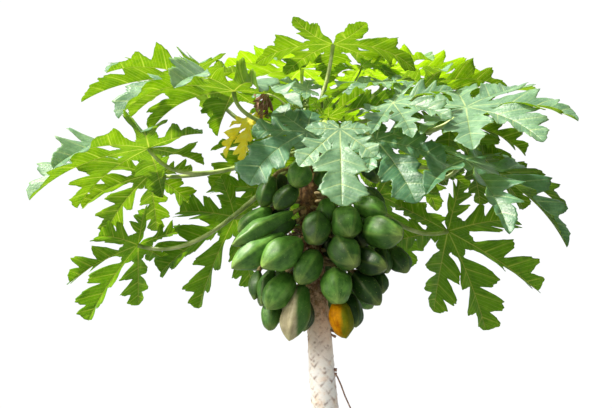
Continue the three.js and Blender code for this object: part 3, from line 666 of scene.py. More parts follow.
def half_lobe(leaf, number, i, side):
    """Points, faces, map and veins of one half of a lobe."""
    knots, corner, tips = outline_knots(leaf, number, i, side)
    length, girth = leaf["lobes"]["length"][i], (leaf["size"] / USUAL_SIZE) ** 0.5
    across, step = SMALL_LEAF_STEPS if leaf.get("look") == "shut" else (ACROSS, STEP_ALONG)
    s = [np.linspace(0, knots[0, 0], 5)[:-1]]
    for (s0, _), (s1, _) in zip(knots, knots[1:]):
        s.append(np.linspace(s0, s1, int(np.clip(np.ceil((s1 - s0) / step), 2, 8)) + 1)[:-1])
    between = [(a + b) / 2 for a, b in zip([knots[0, 0]] + tips, tips + [1.0])]
    side_veins = [(tip, SIDE_VEIN) for tip in tips] + [(tip, SIDE_VEIN * THIN_VEIN) for tip in between]
    vein_rows = [[at - width * girth / length, at, at + width * girth / length] for at, width in side_veins]
    s = np.unique(np.round(np.concatenate(s + [[1.0]] + vein_rows), 5))
    edge_a, edge_b = margin(leaf, i, side, knots, corner, s)
    wide = np.maximum(np.hypot(edge_a - s * length, edge_b), 1e-5)
    rib = RIB * girth * (RIB_AT_TIP + (1 - RIB_AT_TIP) * (1 - s) ** RIB_TAPER)
    even = np.linspace(0, 1, across + 1)[:, None]
    start = np.minimum(rib / wide, RIB_AT_MOST)
    t = np.concatenate([np.zeros((1, len(s))), start + (1 - start) * even])
    a, b = s * length + (edge_a - s * length) * t, edge_b * t
    point, up = on_blade(leaf, i, a, b)
    bays = np.sort(np.concatenate([[0], tips, between, [1]]))
    bay = np.clip(np.searchsorted(bays, s, side="right") - 1, 0, len(bays) - 2)
    in_bay = np.sin(np.pi * (s - bays[bay]) / (bays[bay + 1] - bays[bay])) ** 2
    outside = smooth((s - knots[0, 0]) / RELIEF_BY)
    swell = SWELL * in_bay * np.sin(np.pi * t ** SWELL_SKEW) * outside
    wave = np.sin(2 * np.pi * (s * RUFFLE_WAVES + 0.5 * vary(number, 60 + i * 2 + side)))
    ruffle = RUFFLE * t ** 2 * outside * wave * (1 - s ** 4)
    vein = np.zeros(t.shape)
    for at, width in side_veins:
        row = np.abs(s - at) < 2e-5
        vein[:, row] = (width / SIDE_VEIN) * (1 - VEIN_TAPER * t[:, row])
    vein[0] = 1
    point = point + up * ((swell + ruffle) * length / USUAL_SIZE - VEIN_SINK * vein * outside)[..., None]
    faces = grid_faces(across + 2, len(s))
    faces = faces if side > 0 else faces[:, ::-1]
    chart = np.stack([np.broadcast_to(s, a.shape) * length, t], -1)
    return point.reshape(-1, 3), faces, chart.reshape(-1, 2), vein.ravel()


def blade_mesh(name, leaf, number, finishes):
    """The whole blade: a thin shell with its upper and lower finish."""
    points, faces, charts, veins, count = [], [], [], [], 0
    for i in range(7):
        for side in (-1, 1):
            half_points, half_faces, chart, vein = half_lobe(leaf, number, i, side)
            points.append(half_points)
            faces.append(half_faces + count)
            charts.append(chart)
            veins.append(vein)
            count += len(half_points)
    sheet = bpy.data.meshes.new("blade_sheet_" + name)
    faces = np.concatenate(faces)
    sheet.from_pydata(np.concatenate(points), [], faces.tolist())
    chart = np.concatenate(charts)[faces.ravel()].ravel()
    sheet.uv_layers.new(name="along_and_across").data.foreach_set("uv", chart)
    set_attribute(sheet, "vein", np.concatenate(veins))
    welded = bmesh.new()
    welded.from_mesh(sheet)
    bmesh.ops.remove_doubles(welded, verts=welded.verts, dist=2e-5)
    bmesh.ops.dissolve_degenerate(welded, dist=1e-6, edges=welded.edges)
    welded.to_mesh(sheet)
    welded.free()
    sheet.shade_smooth()
    for finish in finishes:
        sheet.materials.append(finish)
    blade = show("leaf_" + name, sheet)
    shell = blade.modifiers.new("thickness", "SOLIDIFY")
    shell.thickness, shell.offset = BLADE_THICKNESS, 0
    shell.material_offset, shell.material_offset_rim = 1, 1
    solid = applied(blade)
    blade.modifiers.clear()
    blade.data = solid
    return blade


def leaf_finish(name, surface, light_through, share_through, roughness, vein_tint, margin_tint, net):
    """Leaf skin: colours of its tissue, of the light that comes through it, of its veins and its worn margin.
    net is how strongly the net of fine veins shows."""
    material, tree = blank_material(name)
    place = add(tree, "ShaderNodeTexCoord").outputs
    blotch = noise(tree, place["Object"], BLOTCH_SIZE, 5.0, 0.65)
    tissue = ramp(tree, blotch, *zip((0.3, 0.5, 0.7), surface.split()))
    through = ramp(tree, blotch, *zip((0.3, 0.7), light_through.split()))
    chart = add(tree, "ShaderNodeSeparateXYZ", {"Vector": place["UV"]}).outputs
    worn = ranged(tree, calc(tree, "MULTIPLY_ADD", blotch, 0.7, chart["Y"]), 1.34, 1.5, 0.0, 0.6)
    colour = mixed(tree, worn, tissue, linear(margin_tint))
    # Fine veins every 17 mm along the rib, drawn 3 mm wide so that they show
    wobble = calc(tree, "MULTIPLY_ADD", blotch, 0.008, chart["X"])
    to_vein = calc(tree, "PINGPONG", wobble, FINE_VEIN_GAP / 2)
    fine_vein = ranged(tree, to_vein, 0.0, FINE_VEIN_WIDTH, net, 0.0)
    vein = calc(tree, "MAXIMUM", attribute(tree, "vein"), fine_vein)
    front_tint, through_tint = vein_tint.split()
    colour = mixed(tree, vein, colour, linear(front_tint))
    through = mixed(tree, vein, through, linear(through_tint))
    # The quilted surface between the veins
    cells = add(tree, "ShaderNodeTexVoronoi", {
        "Vector": place["Object"], "Scale": 1 / CELL_SIZE}, feature="DISTANCE_TO_EDGE").outputs["Distance"]
    height = calc(tree, "MULTIPLY_ADD", cells, 0.5, blotch)
    quilt = add(tree, "ShaderNodeBump", {"Height": height, "Strength": 0.7, "Distance": 0.0034}).outputs[0]
    skin = add(tree, "ShaderNodeBsdfPrincipled", {
        "Base Color": colour, "Roughness": roughness, "Specular IOR Level": 0.5, "Normal": quilt})
    glow = add(tree, "ShaderNodeBsdfTranslucent", {"Color": through, "Normal": quilt})
    both = add(tree, "ShaderNodeMixShader", {
        0: share_through, 1: skin.outputs["BSDF"], 2: glow.outputs["BSDF"]})
    add(tree, "ShaderNodeOutputMaterial", {"Surface": both.outputs[0]})
    return material


# The upper side has a dull blue-green wax that shows the sky; the lower side is yellower and more matt. Young
# leaves are thin and glow yellow-green, old ones are darker, the withered one is dry yellow tissue and the
# dried one brown. The bud's shut ones and the leaves that stand in the crown's shade wear darker colours,
# which are painted shade. The upper side's row and then the lower side's give the tissue from dark to light,
# the light through it and its share, the roughness, the veins lit from the front and from behind, and the
# worn margin.
AGES = {
    # The bud's shut leaves wear darker colours than young leaves have: painted shade of the crown's middle
    "shut": (
        ("#3E5E44 #527456 #6E8E6C", "#B8DA6C #CCE888", 0.40, 0.46, "#B8C892 #E6F2B8", "#8C9E62"),
        ("#3A5E10 #4A7018 #5E8428", "#88B408 #A8CC14", 0.46, 0.62, "#CCD268 #EEF27C", "#A2A03A")),
    "young": (
        ("#587C58 #6E946C #8CAE84", "#D4EE80 #E6F8A0", 0.50, 0.42, "#C8D8A0 #F4FCC8", "#A8B86A"),
        ("#6A941C #7EAA28 #98C03C", "#B8E40A #DAF41C", 0.70, 0.60, "#DCE270 #F8FA88", "#B4B848")),
    # A darker copy of the full leaves' colours, for leaves in the crown's shade: painted shade
    "painted_shade": (
        ("#325C42 #48765A #6A987A", "#B8DA6C #CCE888", 0.36, 0.42, "#A8BC88 #E0F0AC", "#8C9E62"),
        ("#3A600A #48720E #5C861E", "#86B204 #B0D010", 0.54, 0.60, "#CCD268 #EEF27C", "#A2A03A")),
    "full": (
        ("#587E68 #6C9278 #8CB094", "#D4EE84 #E6F8A4", 0.44, 0.42, "#B8C892 #F0FAC0", "#8C9E62"),
        ("#3E6608 #4E7A10 #648E22", "#8CBA04 #BADA10", 0.56, 0.60, "#D4DA68 #F4F884", "#A2A03A")),
    "old": (
        ("#2E5034 #3F6442 #567C56", "#C0E068 #D4EC84", 0.40, 0.44, "#A4B070 #E8F4A8", "#A09A50"),
        ("#42720A #548812 #6A9E28", "#92C604 #BCE410", 0.60, 0.60, "#CCD260 #ECF070", "#B4B450")),
    "withered": (
        ("#FFE234 #FFF058 #FFFAA0", "#FFF048 #FFFA80", 0.75, 0.70, "#FAF0A0 #FFF8B0", "#A8702C"),
        ("#FFE234 #FFF058 #FFFAA0", "#FFF048 #FFFA80", 0.80, 0.75, "#F4E888 #FFF8A0", "#9A6428")),
    "dried": (
        ("#5A3420 #8A5E42 #C2A084", "#B88858 #D8B088", 0.30, 0.80, "#D8BC98 #E8D0A8", "#4A2818"),
        ("#5A3420 #8A5E42 #C2A084", "#B88858 #D8B088", 0.30, 0.80, "#D8BC98 #E8D0A8", "#4A2818")),
}
UPPER_NET, LOWER_NET = 0.16, 0.30
finishes = {
    age: [leaf_finish(f"papaya_leaf_upper_side_{age}", *upper, UPPER_NET),
          leaf_finish(f"papaya_leaf_lower_side_{age}", *lower, LOWER_NET)]
    for age, (upper, lower) in AGES.items()
}
for number, (name, leaf) in enumerate(leaves.items(), start=1):
    leaf["lobes"] = lobes_of(leaf, number)
    blade = blade_mesh(name, leaf, number, finishes[leaf["age"]])
    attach(blade, "root")
    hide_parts("blade_" + name)

# Bud of the crown: young leaves, still small and half shut, that stand on short stalks round the trunk's tip,
# three small open ones among them, and one dried leaf that hangs shrivelled on its stalk under them.
SHUT_LEAVES, BUD_START, BUD_RISE, BUD_TURN = 7, 2.925, 0.055, 2.4
BUD_STALK_SHARE, BUD_STALK_SIDES, BUD_FIRST_NUMBER = 0.5, 8, 40
bud_leaves = []
rng = np.random.default_rng(5)
for k in range(SHUT_LEAVES):
    # From 0 for the oldest to 1 for the youngest
    youth = k / (SHUT_LEAVES - 1)
    turn, start = 0.5 + BUD_TURN * k, BUD_START + BUD_RISE * k / (SHUT_LEAVES - 1)
    reach, rise = 0.12 - 0.08 * youth, 0.05 + 0.06 * youth + rng.uniform(-0.015, 0.015)
    hub = np.array([along(TRUNK_LEAN, start) + reach * np.cos(turn), reach * np.sin(turn), start + rise])
    bud_leaves.append({
        "hub": hub, "heading": np.degrees(turn), "pitch": 30 + 35 * youth, "roll": rng.uniform(-15, 15),
        "size": 0.12 - 0.06 * youth, "droop": 0.8, "start": start, "up": 55 + 25 * youth, "arrive": 70,
        "fold": 0.7, "look": "shut"})
# The two open bud leaves with the full look wear darker colours than young leaves have: painted shade of the
# crown's middle
bud_leaves += [
    {"hub": seen_at(307, 89, 0.0), "heading": 184, "pitch": 6, "roll": -44, "size": 0.23, "droop": 0.7,
     "start": 2.94, "up": 60, "arrive": 60, "fold": 0.2, "arms": (0.4, 0.5, 0.6, 1, 0.5, 0.4, 0.3),
     "kind": "plain", "look": "full"},
    {"hub": seen_at(328, 117, -0.20), "heading": 8, "pitch": 22, "roll": -12, "size": 0.27, "droop": 0.5,
     "start": 2.93, "up": 50, "arrive": 30, "fold": 0.6, "arms": (0.2, 0.3, 0.7, 1, 0.6, 0.3, 0.2),
     "kind": "plain", "look": "full"},
    {"hub": seen_at(362, 66, 0.17), "heading": 62, "pitch": 4, "roll": 0, "size": 0.22, "droop": 0.6,
     "start": 2.95, "up": 60, "arrive": 50, "fold": 0.4, "look": "young"},
    {"hub": seen_at(265, 94, -0.04), "heading": 205, "pitch": -78, "roll": 60, "size": 0.115, "droop": 3,
     "start": 2.93, "up": 50, "arrive": 10, "fold": 1.0, "look": "dried"},
]
bud = {"shut": ([], []), "young": ([], []), "full": ([], []), "dried": ([], [])}
for k, leaf in enumerate(bud_leaves, start=BUD_FIRST_NUMBER):
    leaf["lobes"] = lobes_of(leaf, k)
    path = petiole_path(leaf)
    radius = BUD_STALK_SHARE * np.linspace(PETIOLE_BASE, PETIOLE_END, len(path))
    guide = lines_mesh(f"bud_line_{k}", [(path, radius)])
    stalks, blades = bud[leaf["look"]]
    stalks.append(grow(guide, tube_tree, Sides=BUD_STALK_SIDES, Finish=stalk_skin))
    blades.append(blade_mesh(f"bud_{k}", leaf, k, finishes[leaf["look"]]))


def joined(name, meshes):
    """One piece made of several meshes that wear the same materials."""
    whole = bmesh.new()
    for mesh in meshes:
        whole.from_mesh(mesh)
    mesh = meshes[0].copy()
    whole.to_mesh(mesh)
    whole.free()
    return show(name, mesh)


for look, (stalks, blades) in bud.items():
    blade_meshes = [blade.data for blade in blades]
    for blade in blades:
        bpy.data.objects.remove(blade)
    stalk_piece, leaf_piece = joined(f"{look}_leaf_stalks", stalks), joined(f"{look}_leaves", blade_meshes)
    for piece, slot in ((stalk_piece, "petiole"), (leaf_piece, "leaf")):
        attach(piece, "root")

# Fruit: long green papayas that hang by short stalks all round the trunk, each with five soft ridges, a
# narrow stalk end and a pointed tip. Each row gives the stalk end's u, v and depth, the tip's u and v, the
# length and the width, and how light the skin is.
# The rows with a tone of 0 hang behind the front fruit; their darkest skin is painted shade in the gaps of
# the cluster
GREEN_FRUIT = {
    "fruit_upper": [
        (303, 163, -0.120, 295, 186, 0.125, 0.094, 0.75), (274, 177, -0.080, 261, 207, 0.135, 0.076, 0.25),
        (296, 186, -0.100, 275, 209, 0.130, 0.078, 0.20), (326, 165, -0.080, 323, 189, 0.115, 0.084, 0.40),
        (364, 156, -0.060, 378, 182, 0.130, 0.088, 0.15), (357, 189, -0.060, 383, 208, 0.140, 0.084, 0.15),
        (282, 176, 0.020, 273, 200, 0.130, 0.090, 0.00), (288, 196, 0.030, 274, 214, 0.130, 0.084, 0.00),
    ],
    "fruit_middle": [
        (272, 209, -0.060, 239, 231, 0.170, 0.084, 0.75), (293, 213, -0.110, 232, 245, 0.290, 0.080, 0.60),
        (297, 221, -0.090, 247, 240, 0.230, 0.082, 0.20), (284, 233, -0.130, 232, 268, 0.260, 0.100, 0.80),
        (301, 240, -0.150, 263, 267, 0.205, 0.122, 0.85), (319, 213, -0.110, 314, 243, 0.175, 0.108, 0.30),
        (343, 208, -0.110, 350, 237, 0.185, 0.118, 0.60), (326, 200, -0.070, 329, 222, 0.120, 0.086, 0.70),
        (336, 240, -0.130, 354, 265, 0.185, 0.122, 0.25), (362, 228, -0.110, 402, 236, 0.215, 0.122, 0.45),
        (354, 202, -0.090, 388, 214, 0.165, 0.092, 0.75), (352, 256, -0.090, 386, 268, 0.180, 0.098, 0.05),
        (378, 247, -0.050, 387, 273, 0.135, 0.076, 0.20), (389, 246, -0.020, 407, 273, 0.150, 0.088, 0.25),
        (343, 218, 0.020, 352, 246, 0.150, 0.100, 0.00), (328, 232, 0.030, 336, 258, 0.140, 0.090, 0.00),
        (358, 246, 0.010, 368, 268, 0.130, 0.090, 0.00), (282, 232, 0.010, 272, 262, 0.150, 0.090, 0.00),
        (350, 226, 0.030, 364, 248, 0.150, 0.100, 0.00), (284, 208, 0.020, 262, 228, 0.150, 0.090, 0.00),
    ],
    "fruit_lower": [
        (317, 252, -0.110, 299, 283, 0.180, 0.108, 0.60), (334, 268, -0.100, 338, 303, 0.180, 0.118, 0.97),
        (355, 273, -0.080, 380, 305, 0.175, 0.100, 0.10), (374, 270, -0.030, 382, 293, 0.130, 0.074, 0.15),
        (350, 295, -0.040, 356, 328, 0.145, 0.074, 0.15), (291, 274, -0.090, 267, 309, 0.185, 0.112, 0.95),
        (274, 297, -0.040, 269, 330, 0.145, 0.080, 0.55), (272, 268, -0.060, 262, 304, 0.155, 0.072, 0.35),
        (259, 270, -0.020, 254, 300, 0.135, 0.064, 0.35), (306, 299, -0.060, 304, 332, 0.140, 0.070, 0.10),
    ],
}
SCARRED_FRUIT = (303, 286, -0.095, 289, 341, 0.225, 0.106, 0.6)
RIPE_FRUIT = (336, 298, -0.085, 346, 339, 0.175, 0.092, 0.6)
# The far side: height, distance from the trunk's middle, dip, length, width and how many from left to right
BACK_TIERS = {
    "fruit_upper": [(2.720, 0.150, 58, 0.130, 0.090, 2)],
    "fruit_middle": [(2.590, 0.215, 35, 0.180, 0.112, 3), (2.450, 0.235, 32, 0.200, 0.126, 4)],
    "fruit_lower": [(2.320, 0.205, 52, 0.185, 0.122, 3), (2.220, 0.130, 70, 0.180, 0.108, 2)],
}
# How much each of those fruit may differ: heading in radians, height, dip in degrees, size and lightness
HEADING_SPREAD, HEIGHT_SPREAD, DIP_SPREAD, SIZE_RANGE, TONE_RANGE = 0.06, 0.012, 5, (0.9, 1.08), (0.1, 0.8)
FRUIT_AROUND, FRUIT_ALONG, FRUIT_RIDGES, RIDGE_DEPTH, RIDGE_TURN = 30, 22, 5, 0.060, 2.4
LUMP_SIZE, LUMP_HEIGHT, MOTTLE_SIZE, SPECK_CELL = 0.09, 0.024, 0.03, 0.013
# Half width at shares of the length, from the stalk end to the tip
FRUIT_PROFILE = [(0, 0.12), (0.02, 0.26), (0.07, 0.44), (0.16, 0.66), (0.3, 0.87), (0.45, 0.99), (0.57, 1.0),
                 (0.7, 0.91), (0.82, 0.70), (0.91, 0.44), (0.97, 0.20), (1, 0.03)]


def fruit_on_view(u, v, depth, tip_u, tip_v, length, width, tone):
    """A fruit whose stalk end and tip show at two pixels, with its tip on the near side."""
    stem = seen_at(u, v, depth)
    toward = unit(seen_at(tip_u, tip_v, depth) - view_eye)
    nearest = toward @ (stem - view_eye)
    gap = np.linalg.norm(view_eye + toward * nearest - stem)
    tip = view_eye + toward * (nearest - np.sqrt(max(length ** 2 - gap ** 2, 0)))
    axis = unit(tip - stem)
    return fruit_from((stem + tip) / 2, np.arctan2(axis[1], axis[0]), -np.arcsin(axis[2]),
                      np.linalg.norm(tip - stem), width, tone)


def fruit_from(middle, heading, dip, length, width, tone):
    axis = np.array([np.cos(heading) * np.cos(dip), np.sin(heading) * np.cos(dip), -np.sin(dip)])
    return {"stem": middle - axis * length / 2, "axis": axis, "heading": heading, "dip": dip,
            "length": length, "width": width, "tone": tone}


def stored(tree, geometry, name, value):
    """The geometry with this value kept at its points, for the skin to read."""
    inputs = {"Geometry": geometry, "Name": name, "Value": value}
    return add(tree, "GeometryNodeStoreNamedAttribute", inputs, data_type="FLOAT", domain="POINT").outputs[0]


# One fruit along +X with its ridges and its profile, set at every point in that point's turn and size
fruit_tree, given = node_tree_with("fruit_at_points", {
    "Around": "Int", "Along": "Int", "Ridge Depth": "Float", "Unevenness": "Float", "Finish": "Material"})
axis_line = add(fruit_tree, "GeometryNodeCurvePrimitiveLine", {"Start": (0, 0, 0), "End": (1, 0, 0)})
axis_line = add(fruit_tree, "GeometryNodeResampleCurve", {
    "Curve": axis_line.outputs[0], "Count": given["Along"]})
share = add(fruit_tree, "GeometryNodeSplineParameter").outputs["Factor"]
taper = add(fruit_tree, "ShaderNodeFloatCurve", {"Value": share})
curve_points = taper.mapping.curves[0].points
while len(curve_points) < len(FRUIT_PROFILE):
    curve_points.new(0.5, 0.5)
for curve_point, (x, y) in zip(curve_points, FRUIT_PROFILE):
    curve_point.location = (x, y)
taper.mapping.update()
half_width = calc(fruit_tree, "MULTIPLY", taper.outputs[0], 0.5)
axis_line = add(fruit_tree, "GeometryNodeSetCurveRadius", {
    "Curve": axis_line.outputs[0], "Radius": half_width})
axis_line = stored(fruit_tree, axis_line.outputs[0], "along_fruit", share)
ring = add(fruit_tree, "GeometryNodeCurvePrimitiveCircle", {"Resolution": given["Around"], "Radius": 1.0})
wave = calc(fruit_tree, "COSINE", calc(fruit_tree, "MULTIPLY", share, 2 * FRUIT_RIDGES * np.pi))
swell = calc(fruit_tree, "MULTIPLY_ADD", wave, given["Ridge Depth"], 1.0)
ring = stored(fruit_tree, ring.outputs[0], "across_fruit", wave)
whole_turn = calc(fruit_tree, "MULTIPLY", share, 2 * np.pi)
for name, operation in (("round_cosine", "COSINE"), ("round_sine", "SINE")):
    ring = stored(fruit_tree, ring, name, calc(fruit_tree, operation, whole_turn))
spot = add(fruit_tree, "GeometryNodeInputPosition")
ridged = add(fruit_tree, "ShaderNodeVectorMath", {0: spot.outputs[0], "Scale": swell}, operation="SCALE")
ring = add(fruit_tree, "GeometryNodeSetPosition", {"Geometry": ring, "Position": ridged.outputs[0]})
turn = add(fruit_tree, "GeometryNodeInputNamedAttribute", {"Name": "turn"}, data_type="FLOAT_VECTOR")
turn = add(fruit_tree, "FunctionNodeEulerToRotation", {0: turn.outputs[0]})
size = add(fruit_tree, "GeometryNodeInputNamedAttribute", {"Name": "size"}, data_type="FLOAT_VECTOR")
fruit = add(fruit_tree, "GeometryNodeInstanceOnPoints", {
    "Points": given["Geometry"], "Instance": swept(fruit_tree, axis_line, ring.outputs[0]),
    "Rotation": turn.outputs[0], "Scale": size.outputs[0]})
fruit = add(fruit_tree, "GeometryNodeRealizeInstances", {"Geometry": fruit.outputs[0]})
# Broad lumps, so that no two fruit are alike
lumps = add(fruit_tree, "ShaderNodeTexNoise", {"Scale": 1 / LUMP_SIZE, "Detail": 1.0}).outputs["Fac"]
lump = calc(fruit_tree, "MULTIPLY", calc(fruit_tree, "SUBTRACT", lumps, 0.5), given["Unevenness"])
out = add(fruit_tree, "GeometryNodeInputNormal")
push = add(fruit_tree, "ShaderNodeVectorMath", {0: out.outputs[0], "Scale": lump}, operation="SCALE")
fruit = add(fruit_tree, "GeometryNodeSetPosition", {"Geometry": fruit.outputs[0], "Offset": push.outputs[0]})
fruit = add(fruit_tree, "GeometryNodeSetMaterial", {
    "Geometry": fruit.outputs[0], "Material": given["Finish"]})
add(fruit_tree, "NodeGroupOutput", {"Geometry": fruit.outputs[0]})


def fruit_mesh(name, fruits, finish):
    mesh = bpy.data.meshes.new(name)
    mesh.from_pydata([f["stem"] for f in fruits], [], [])
    turns = [(RIDGE_TURN * k, f["dip"], f["heading"]) for k, f in enumerate(fruits)]
    set_attribute(mesh, "turn", turns, "FLOAT_VECTOR")
    set_attribute(mesh, "size", [(f["length"], f["width"], f["width"]) for f in fruits], "FLOAT_VECTOR")
    set_attribute(mesh, "tone", [f["tone"] for f in fruits])
    return grow(mesh, fruit_tree, **{
        "Around": FRUIT_AROUND, "Along": FRUIT_ALONG, "Ridge Depth": RIDGE_DEPTH, "Unevenness": LUMP_HEIGHT,
        "Finish": finish})


def fruit_finish(name, dark, light, tip, patch=None, gloss=0.4):
    """Papaya skin: dull wax over green with lengthwise streaks, lighter on the ridges and at the tip. A patch
    is the colours of a dry or ripe side, where along X it starts and is full, and how far streaks move it."""
    material, tree = blank_material(name)
    tone, along_fruit, ridge_wave, cosine, sine = (attribute(tree, key) for key in (
        "tone", "along_fruit", "across_fruit", "round_cosine", "round_sine"))
    # Streaks a few millimetres wide, drawn 8 mm wide so that they show
    around_x = calc(tree, "MULTIPLY_ADD", cosine, 5.0, tone)
    around_y = calc(tree, "MULTIPLY", sine, 5.0)
    lengthwise = calc(tree, "MULTIPLY", along_fruit, 2.2)
    place = add(tree, "ShaderNodeCombineXYZ", {0: around_x, 1: around_y, 2: lengthwise}).outputs[0]
    streak = noise(tree, place, 1.0, 4.0, 0.6)
    body = add(tree, "ShaderNodeTexCoord").outputs["Object"]
    mottle = noise(tree, body, MOTTLE_SIZE, 5.0, 0.6)
    shade = calc(tree, "MULTIPLY_ADD", streak, 0.55, mottle)
    greens, lights = (ramp(tree, shade, (0.55, one[0]), (0.95, one[1])) for one in (dark, light))
    colour = mixed(tree, tone, greens, lights)
    if patch:
        patch_colours, low, high, hold = patch
        across = add(tree, "ShaderNodeSeparateXYZ", {"Vector": body}).outputs["X"]
        share = ranged(tree, calc(tree, "MULTIPLY_ADD", streak, hold, across), low, high, kind="SMOOTHSTEP")
        skin_patch = ramp(tree, shade, (0.55, patch_colours[0]), (0.95, patch_colours[1]))
        colour = mixed(tree, share, colour, skin_patch)
    colour = mixed(tree, ranged(tree, ridge_wave, 0.6, 1.0, 0.0, 0.10), colour, linear(tip))
    ragged = calc(tree, "MULTIPLY_ADD", shade, 0.2, along_fruit)
    colour = mixed(tree, ranged(tree, ragged, 1.0, 1.22, 0.0, 0.45), colour, linear(tip))
    # The dry ring that the flower left, on the fruit with the highest tone
    ring = calc(tree, "MULTIPLY_ADD", mottle, 0.05, along_fruit)
    ring = calc(tree, "ABSOLUTE", calc(tree, "SUBTRACT", ring, 0.125))
    ring = ranged(tree, ring, 0.012, 0.032, 0.85, 0.0)
    ring = calc(tree, "MULTIPLY", ring, calc(tree, "GREATER_THAN", tone, 0.96))
    colour = mixed(tree, ring, colour, linear("#D8CC9C"))
    # One pale speck in the middle of every cell
    specks = add(tree, "ShaderNodeTexVoronoi", {"Vector": body, "Scale": 1 / SPECK_CELL}).outputs["Distance"]
    colour = mixed(tree, ranged(tree, specks, 0.07, 0.15, 0.4, 0.0), colour, linear(tip))
    skin_over(tree, colour, 0.48, shade, 0.3, 0.002, {"Specular IOR Level": gloss})
    return material


green_skin = fruit_finish("papaya_skin_green", ("#0A2205", "#1B3E0B"), ("#306016", "#629638"), "#AEBE62")
all_fruit = []
rng = np.random.default_rng(11)
for tier, rows in GREEN_FRUIT.items():
    fruits = [fruit_on_view(*row) for row in rows]
    for height, out, dip, length, width, count in BACK_TIERS[tier]:
        for k in range(count):
            heading = np.pi * (k + 0.5) / count + rng.normal(0, HEADING_SPREAD)
            size = rng.uniform(*SIZE_RANGE)
            middle = np.array([along(TRUNK_LEAN, height) + out * np.cos(heading), out * np.sin(heading),
                               height + rng.normal(0, HEIGHT_SPREAD)])
            turned_down = np.radians(dip + rng.normal(0, DIP_SPREAD))
            tone = rng.uniform(*TONE_RANGE)
            fruits.append(fruit_from(middle, heading, turned_down, length * size, width * size, tone))
    crop = show(tier + "_green", fruit_mesh(tier + "_points", fruits, green_skin))
    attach(crop, "root")
    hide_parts(tier)
    all_fruit += fruits
scarred, ripe = fruit_on_view(*SCARRED_FRUIT), fruit_on_view(*RIPE_FRUIT)
scarred_x, ripe_x = (one["stem"][0] + one["axis"][0] * one["length"] / 2 for one in (scarred, ripe))
scar_skin = fruit_finish("papaya_skin_scarred", ("#24480F", "#34601A"), ("#37661C", "#568433"), "#A9AE6C",
                         (("#8E8460", "#BDB48E"), scarred_x + 0.020, scarred_x + 0.004, 0.02))
ripe_skin = fruit_finish("papaya_skin_ripening", ("#4E5E0C", "#6F7412"), ("#5E6C10", "#868216"), "#C29A18",
                         (("#9C5A00", "#E09A00"), ripe_x + 0.030, ripe_x + 0.008, 0.04), gloss=0.05)
for name, one, finish in (("fruit_scarred", scarred, scar_skin), ("fruit_ripening", ripe, ripe_skin)):
    piece = show(name, fruit_mesh(name + "_point", [one], finish))
    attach(piece, "root")
    all_fruit.append(one)

# Fruit stalks: short thick green-brown stems from the trunk's bark to the narrow end of every fruit
FRUIT_STALK, FRUIT_STALK_SINK, FRUIT_STALK_FOOT, FRUIT_STALK_DROP = 0.0075, 0.006, 0.8, 0.030
FRUIT_STALK_POINTS, FRUIT_STALK_SIDES, FRUIT_STALK_MOTTLE = 9, 9, 0.02
stalk_lines = []
for one in all_fruit:
    end = one["stem"] + one["axis"] * FRUIT_STALK_SINK
    gap = np.hypot(end[0] - along(TRUNK_LEAN, end[2]), end[1])
    foot_height = end[2] + FRUIT_STALK_DROP + 0.15 * np.sin(one["dip"]) * gap
    toward = unit(np.array([end[0] - along(TRUNK_LEAN, foot_height), end[1], 0]))
    foot = np.array([along(TRUNK_LEAN, foot_height), 0, foot_height])
    foot = foot + toward * along(TRUNK_RADIUS, foot_height) * FRUIT_STALK_FOOT
    span = np.linalg.norm(end - foot)
    leave, arrive = foot + toward * span * 0.4, end - one["axis"] * span * 0.35
    path = bent_line(foot, leave, arrive, end, FRUIT_STALK_POINTS)
    waist = np.sin(np.pi * np.linspace(0, 1, FRUIT_STALK_POINTS))
    stalk_lines.append((path, FRUIT_STALK * (1.35 - 0.5 * waist)))
# Fruit stalk: woody green skin that has begun to turn brown
stem_skin, tree = blank_material("papaya_fruit_stalk")
mottle = noise(tree, add(tree, "ShaderNodeTexCoord").outputs["Object"], FRUIT_STALK_MOTTLE, 4.0)
tone = ramp(tree, mottle, (0.35, "#6A5634"), (0.5, "#8E7E4C"), (0.7, "#BCA878"))
skin_over(tree, tone, 0.7, mottle, 0.5, 0.002)
stem_guide = lines_mesh("fruit_stalk_lines", stalk_lines)
stems = show("fruit_stalks", grow(stem_guide, tube_tree, Sides=FRUIT_STALK_SIDES, Finish=stem_skin))
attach(stems, "root")

# Dead stalks: one thin dried stalk that bends down from the trunk's right side, the broken stubs of others,
# and the dry remains of flowers between the fruit.
DRY_STALK = [(331, 371), (337, 376), (341, 385), (345, 396), (350, 407), (355, 417), (359, 424)]
DRY_STALK_POINTS, DRY_STALK_RADIUS, DRY_STALK_TAPER = 40, 0.0034, 0.0000215
DEAD_DEPTH, DEAD_SIDES, CREASE_SIZE = -0.012, 8, 0.008
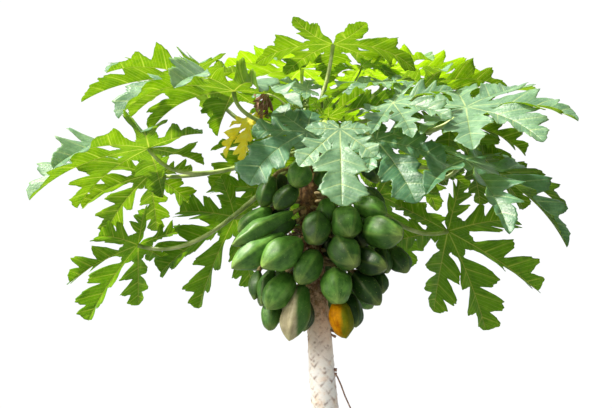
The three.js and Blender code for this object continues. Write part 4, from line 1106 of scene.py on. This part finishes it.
# u and v of a stub's two ends, and its radius
STUBS = [(327, 330, 336, 331, 0.0062), (328, 333, 336, 337, 0.0050), (329, 369, 337, 370, 0.0066),
         (329, 373, 337, 374, 0.0050)]
DRY_FLOWERS = [(290, 234, -0.150), (294, 231, -0.150), (298, 236, -0.150), (303, 254, -0.165),
               (308, 249, -0.165), (300, 259, -0.155)]
FLOWER_STALK, FLOWER_HEAD, FLOWER_RISE, FLOWER_BEND = 0.0020, 0.0038, 0.02, 0.005
dry = np.array([seen_at(u, v, DEAD_DEPTH) for u, v in DRY_STALK])
share = np.linspace(0, len(dry) - 1, DRY_STALK_POINTS)
dry = np.stack([np.interp(share, range(len(dry)), dry[:, axis]) for axis in range(3)], 1)
dead_lines = [(dry, DRY_STALK_RADIUS - DRY_STALK_TAPER * np.arange(DRY_STALK_POINTS))]
for u, v, end_u, end_v, thickness in STUBS:
    step = np.linspace(0, 1, 5)[:, None]
    line = seen_at(u, v, DEAD_DEPTH) * (1 - step) + seen_at(end_u, end_v, DEAD_DEPTH) * step
    dead_lines.append((line, thickness * (1 + 0.15 * np.sin(9 * step[:, 0]))))
for u, v, depth in DRY_FLOWERS:
    end = seen_at(u, v, depth)
    step = np.linspace(0, 1, 12)[:, None]
    line = np.array([along(TRUNK_LEAN, end[2]), 0, end[2] + FLOWER_RISE]) * (1 - step) + end * step
    line = line + FLOWER_BEND * np.sin(11 * step + [u, v, u + v])
    opens, closes = smooth((step[:, 0] - 0.72) / 0.15), smooth((step[:, 0] - 0.9) / 0.1)
    dead_lines.append((line, FLOWER_STALK + FLOWER_HEAD * opens * (1 - 0.5 * closes)))
# Dead papaya stalk: dry, reddish brown and dull, with darker creases
dry_skin, tree = blank_material("papaya_dead_stalk")
creases = noise(tree, add(tree, "ShaderNodeTexCoord").outputs["Object"], CREASE_SIZE, 4.0, 0.7)
tone = ramp(tree, creases, (0.35, "#4C362A"), (0.5, "#907060"), (0.68, "#D8B8A0"))
skin_over(tree, tone, 0.85, creases, 0.6, 0.002)
dead_guide = lines_mesh("dead_stalk_lines", dead_lines)
dead = show("dead_stalks", grow(dead_guide, tube_tree, Sides=DEAD_SIDES, Finish=dry_skin))
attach(dead, "root")
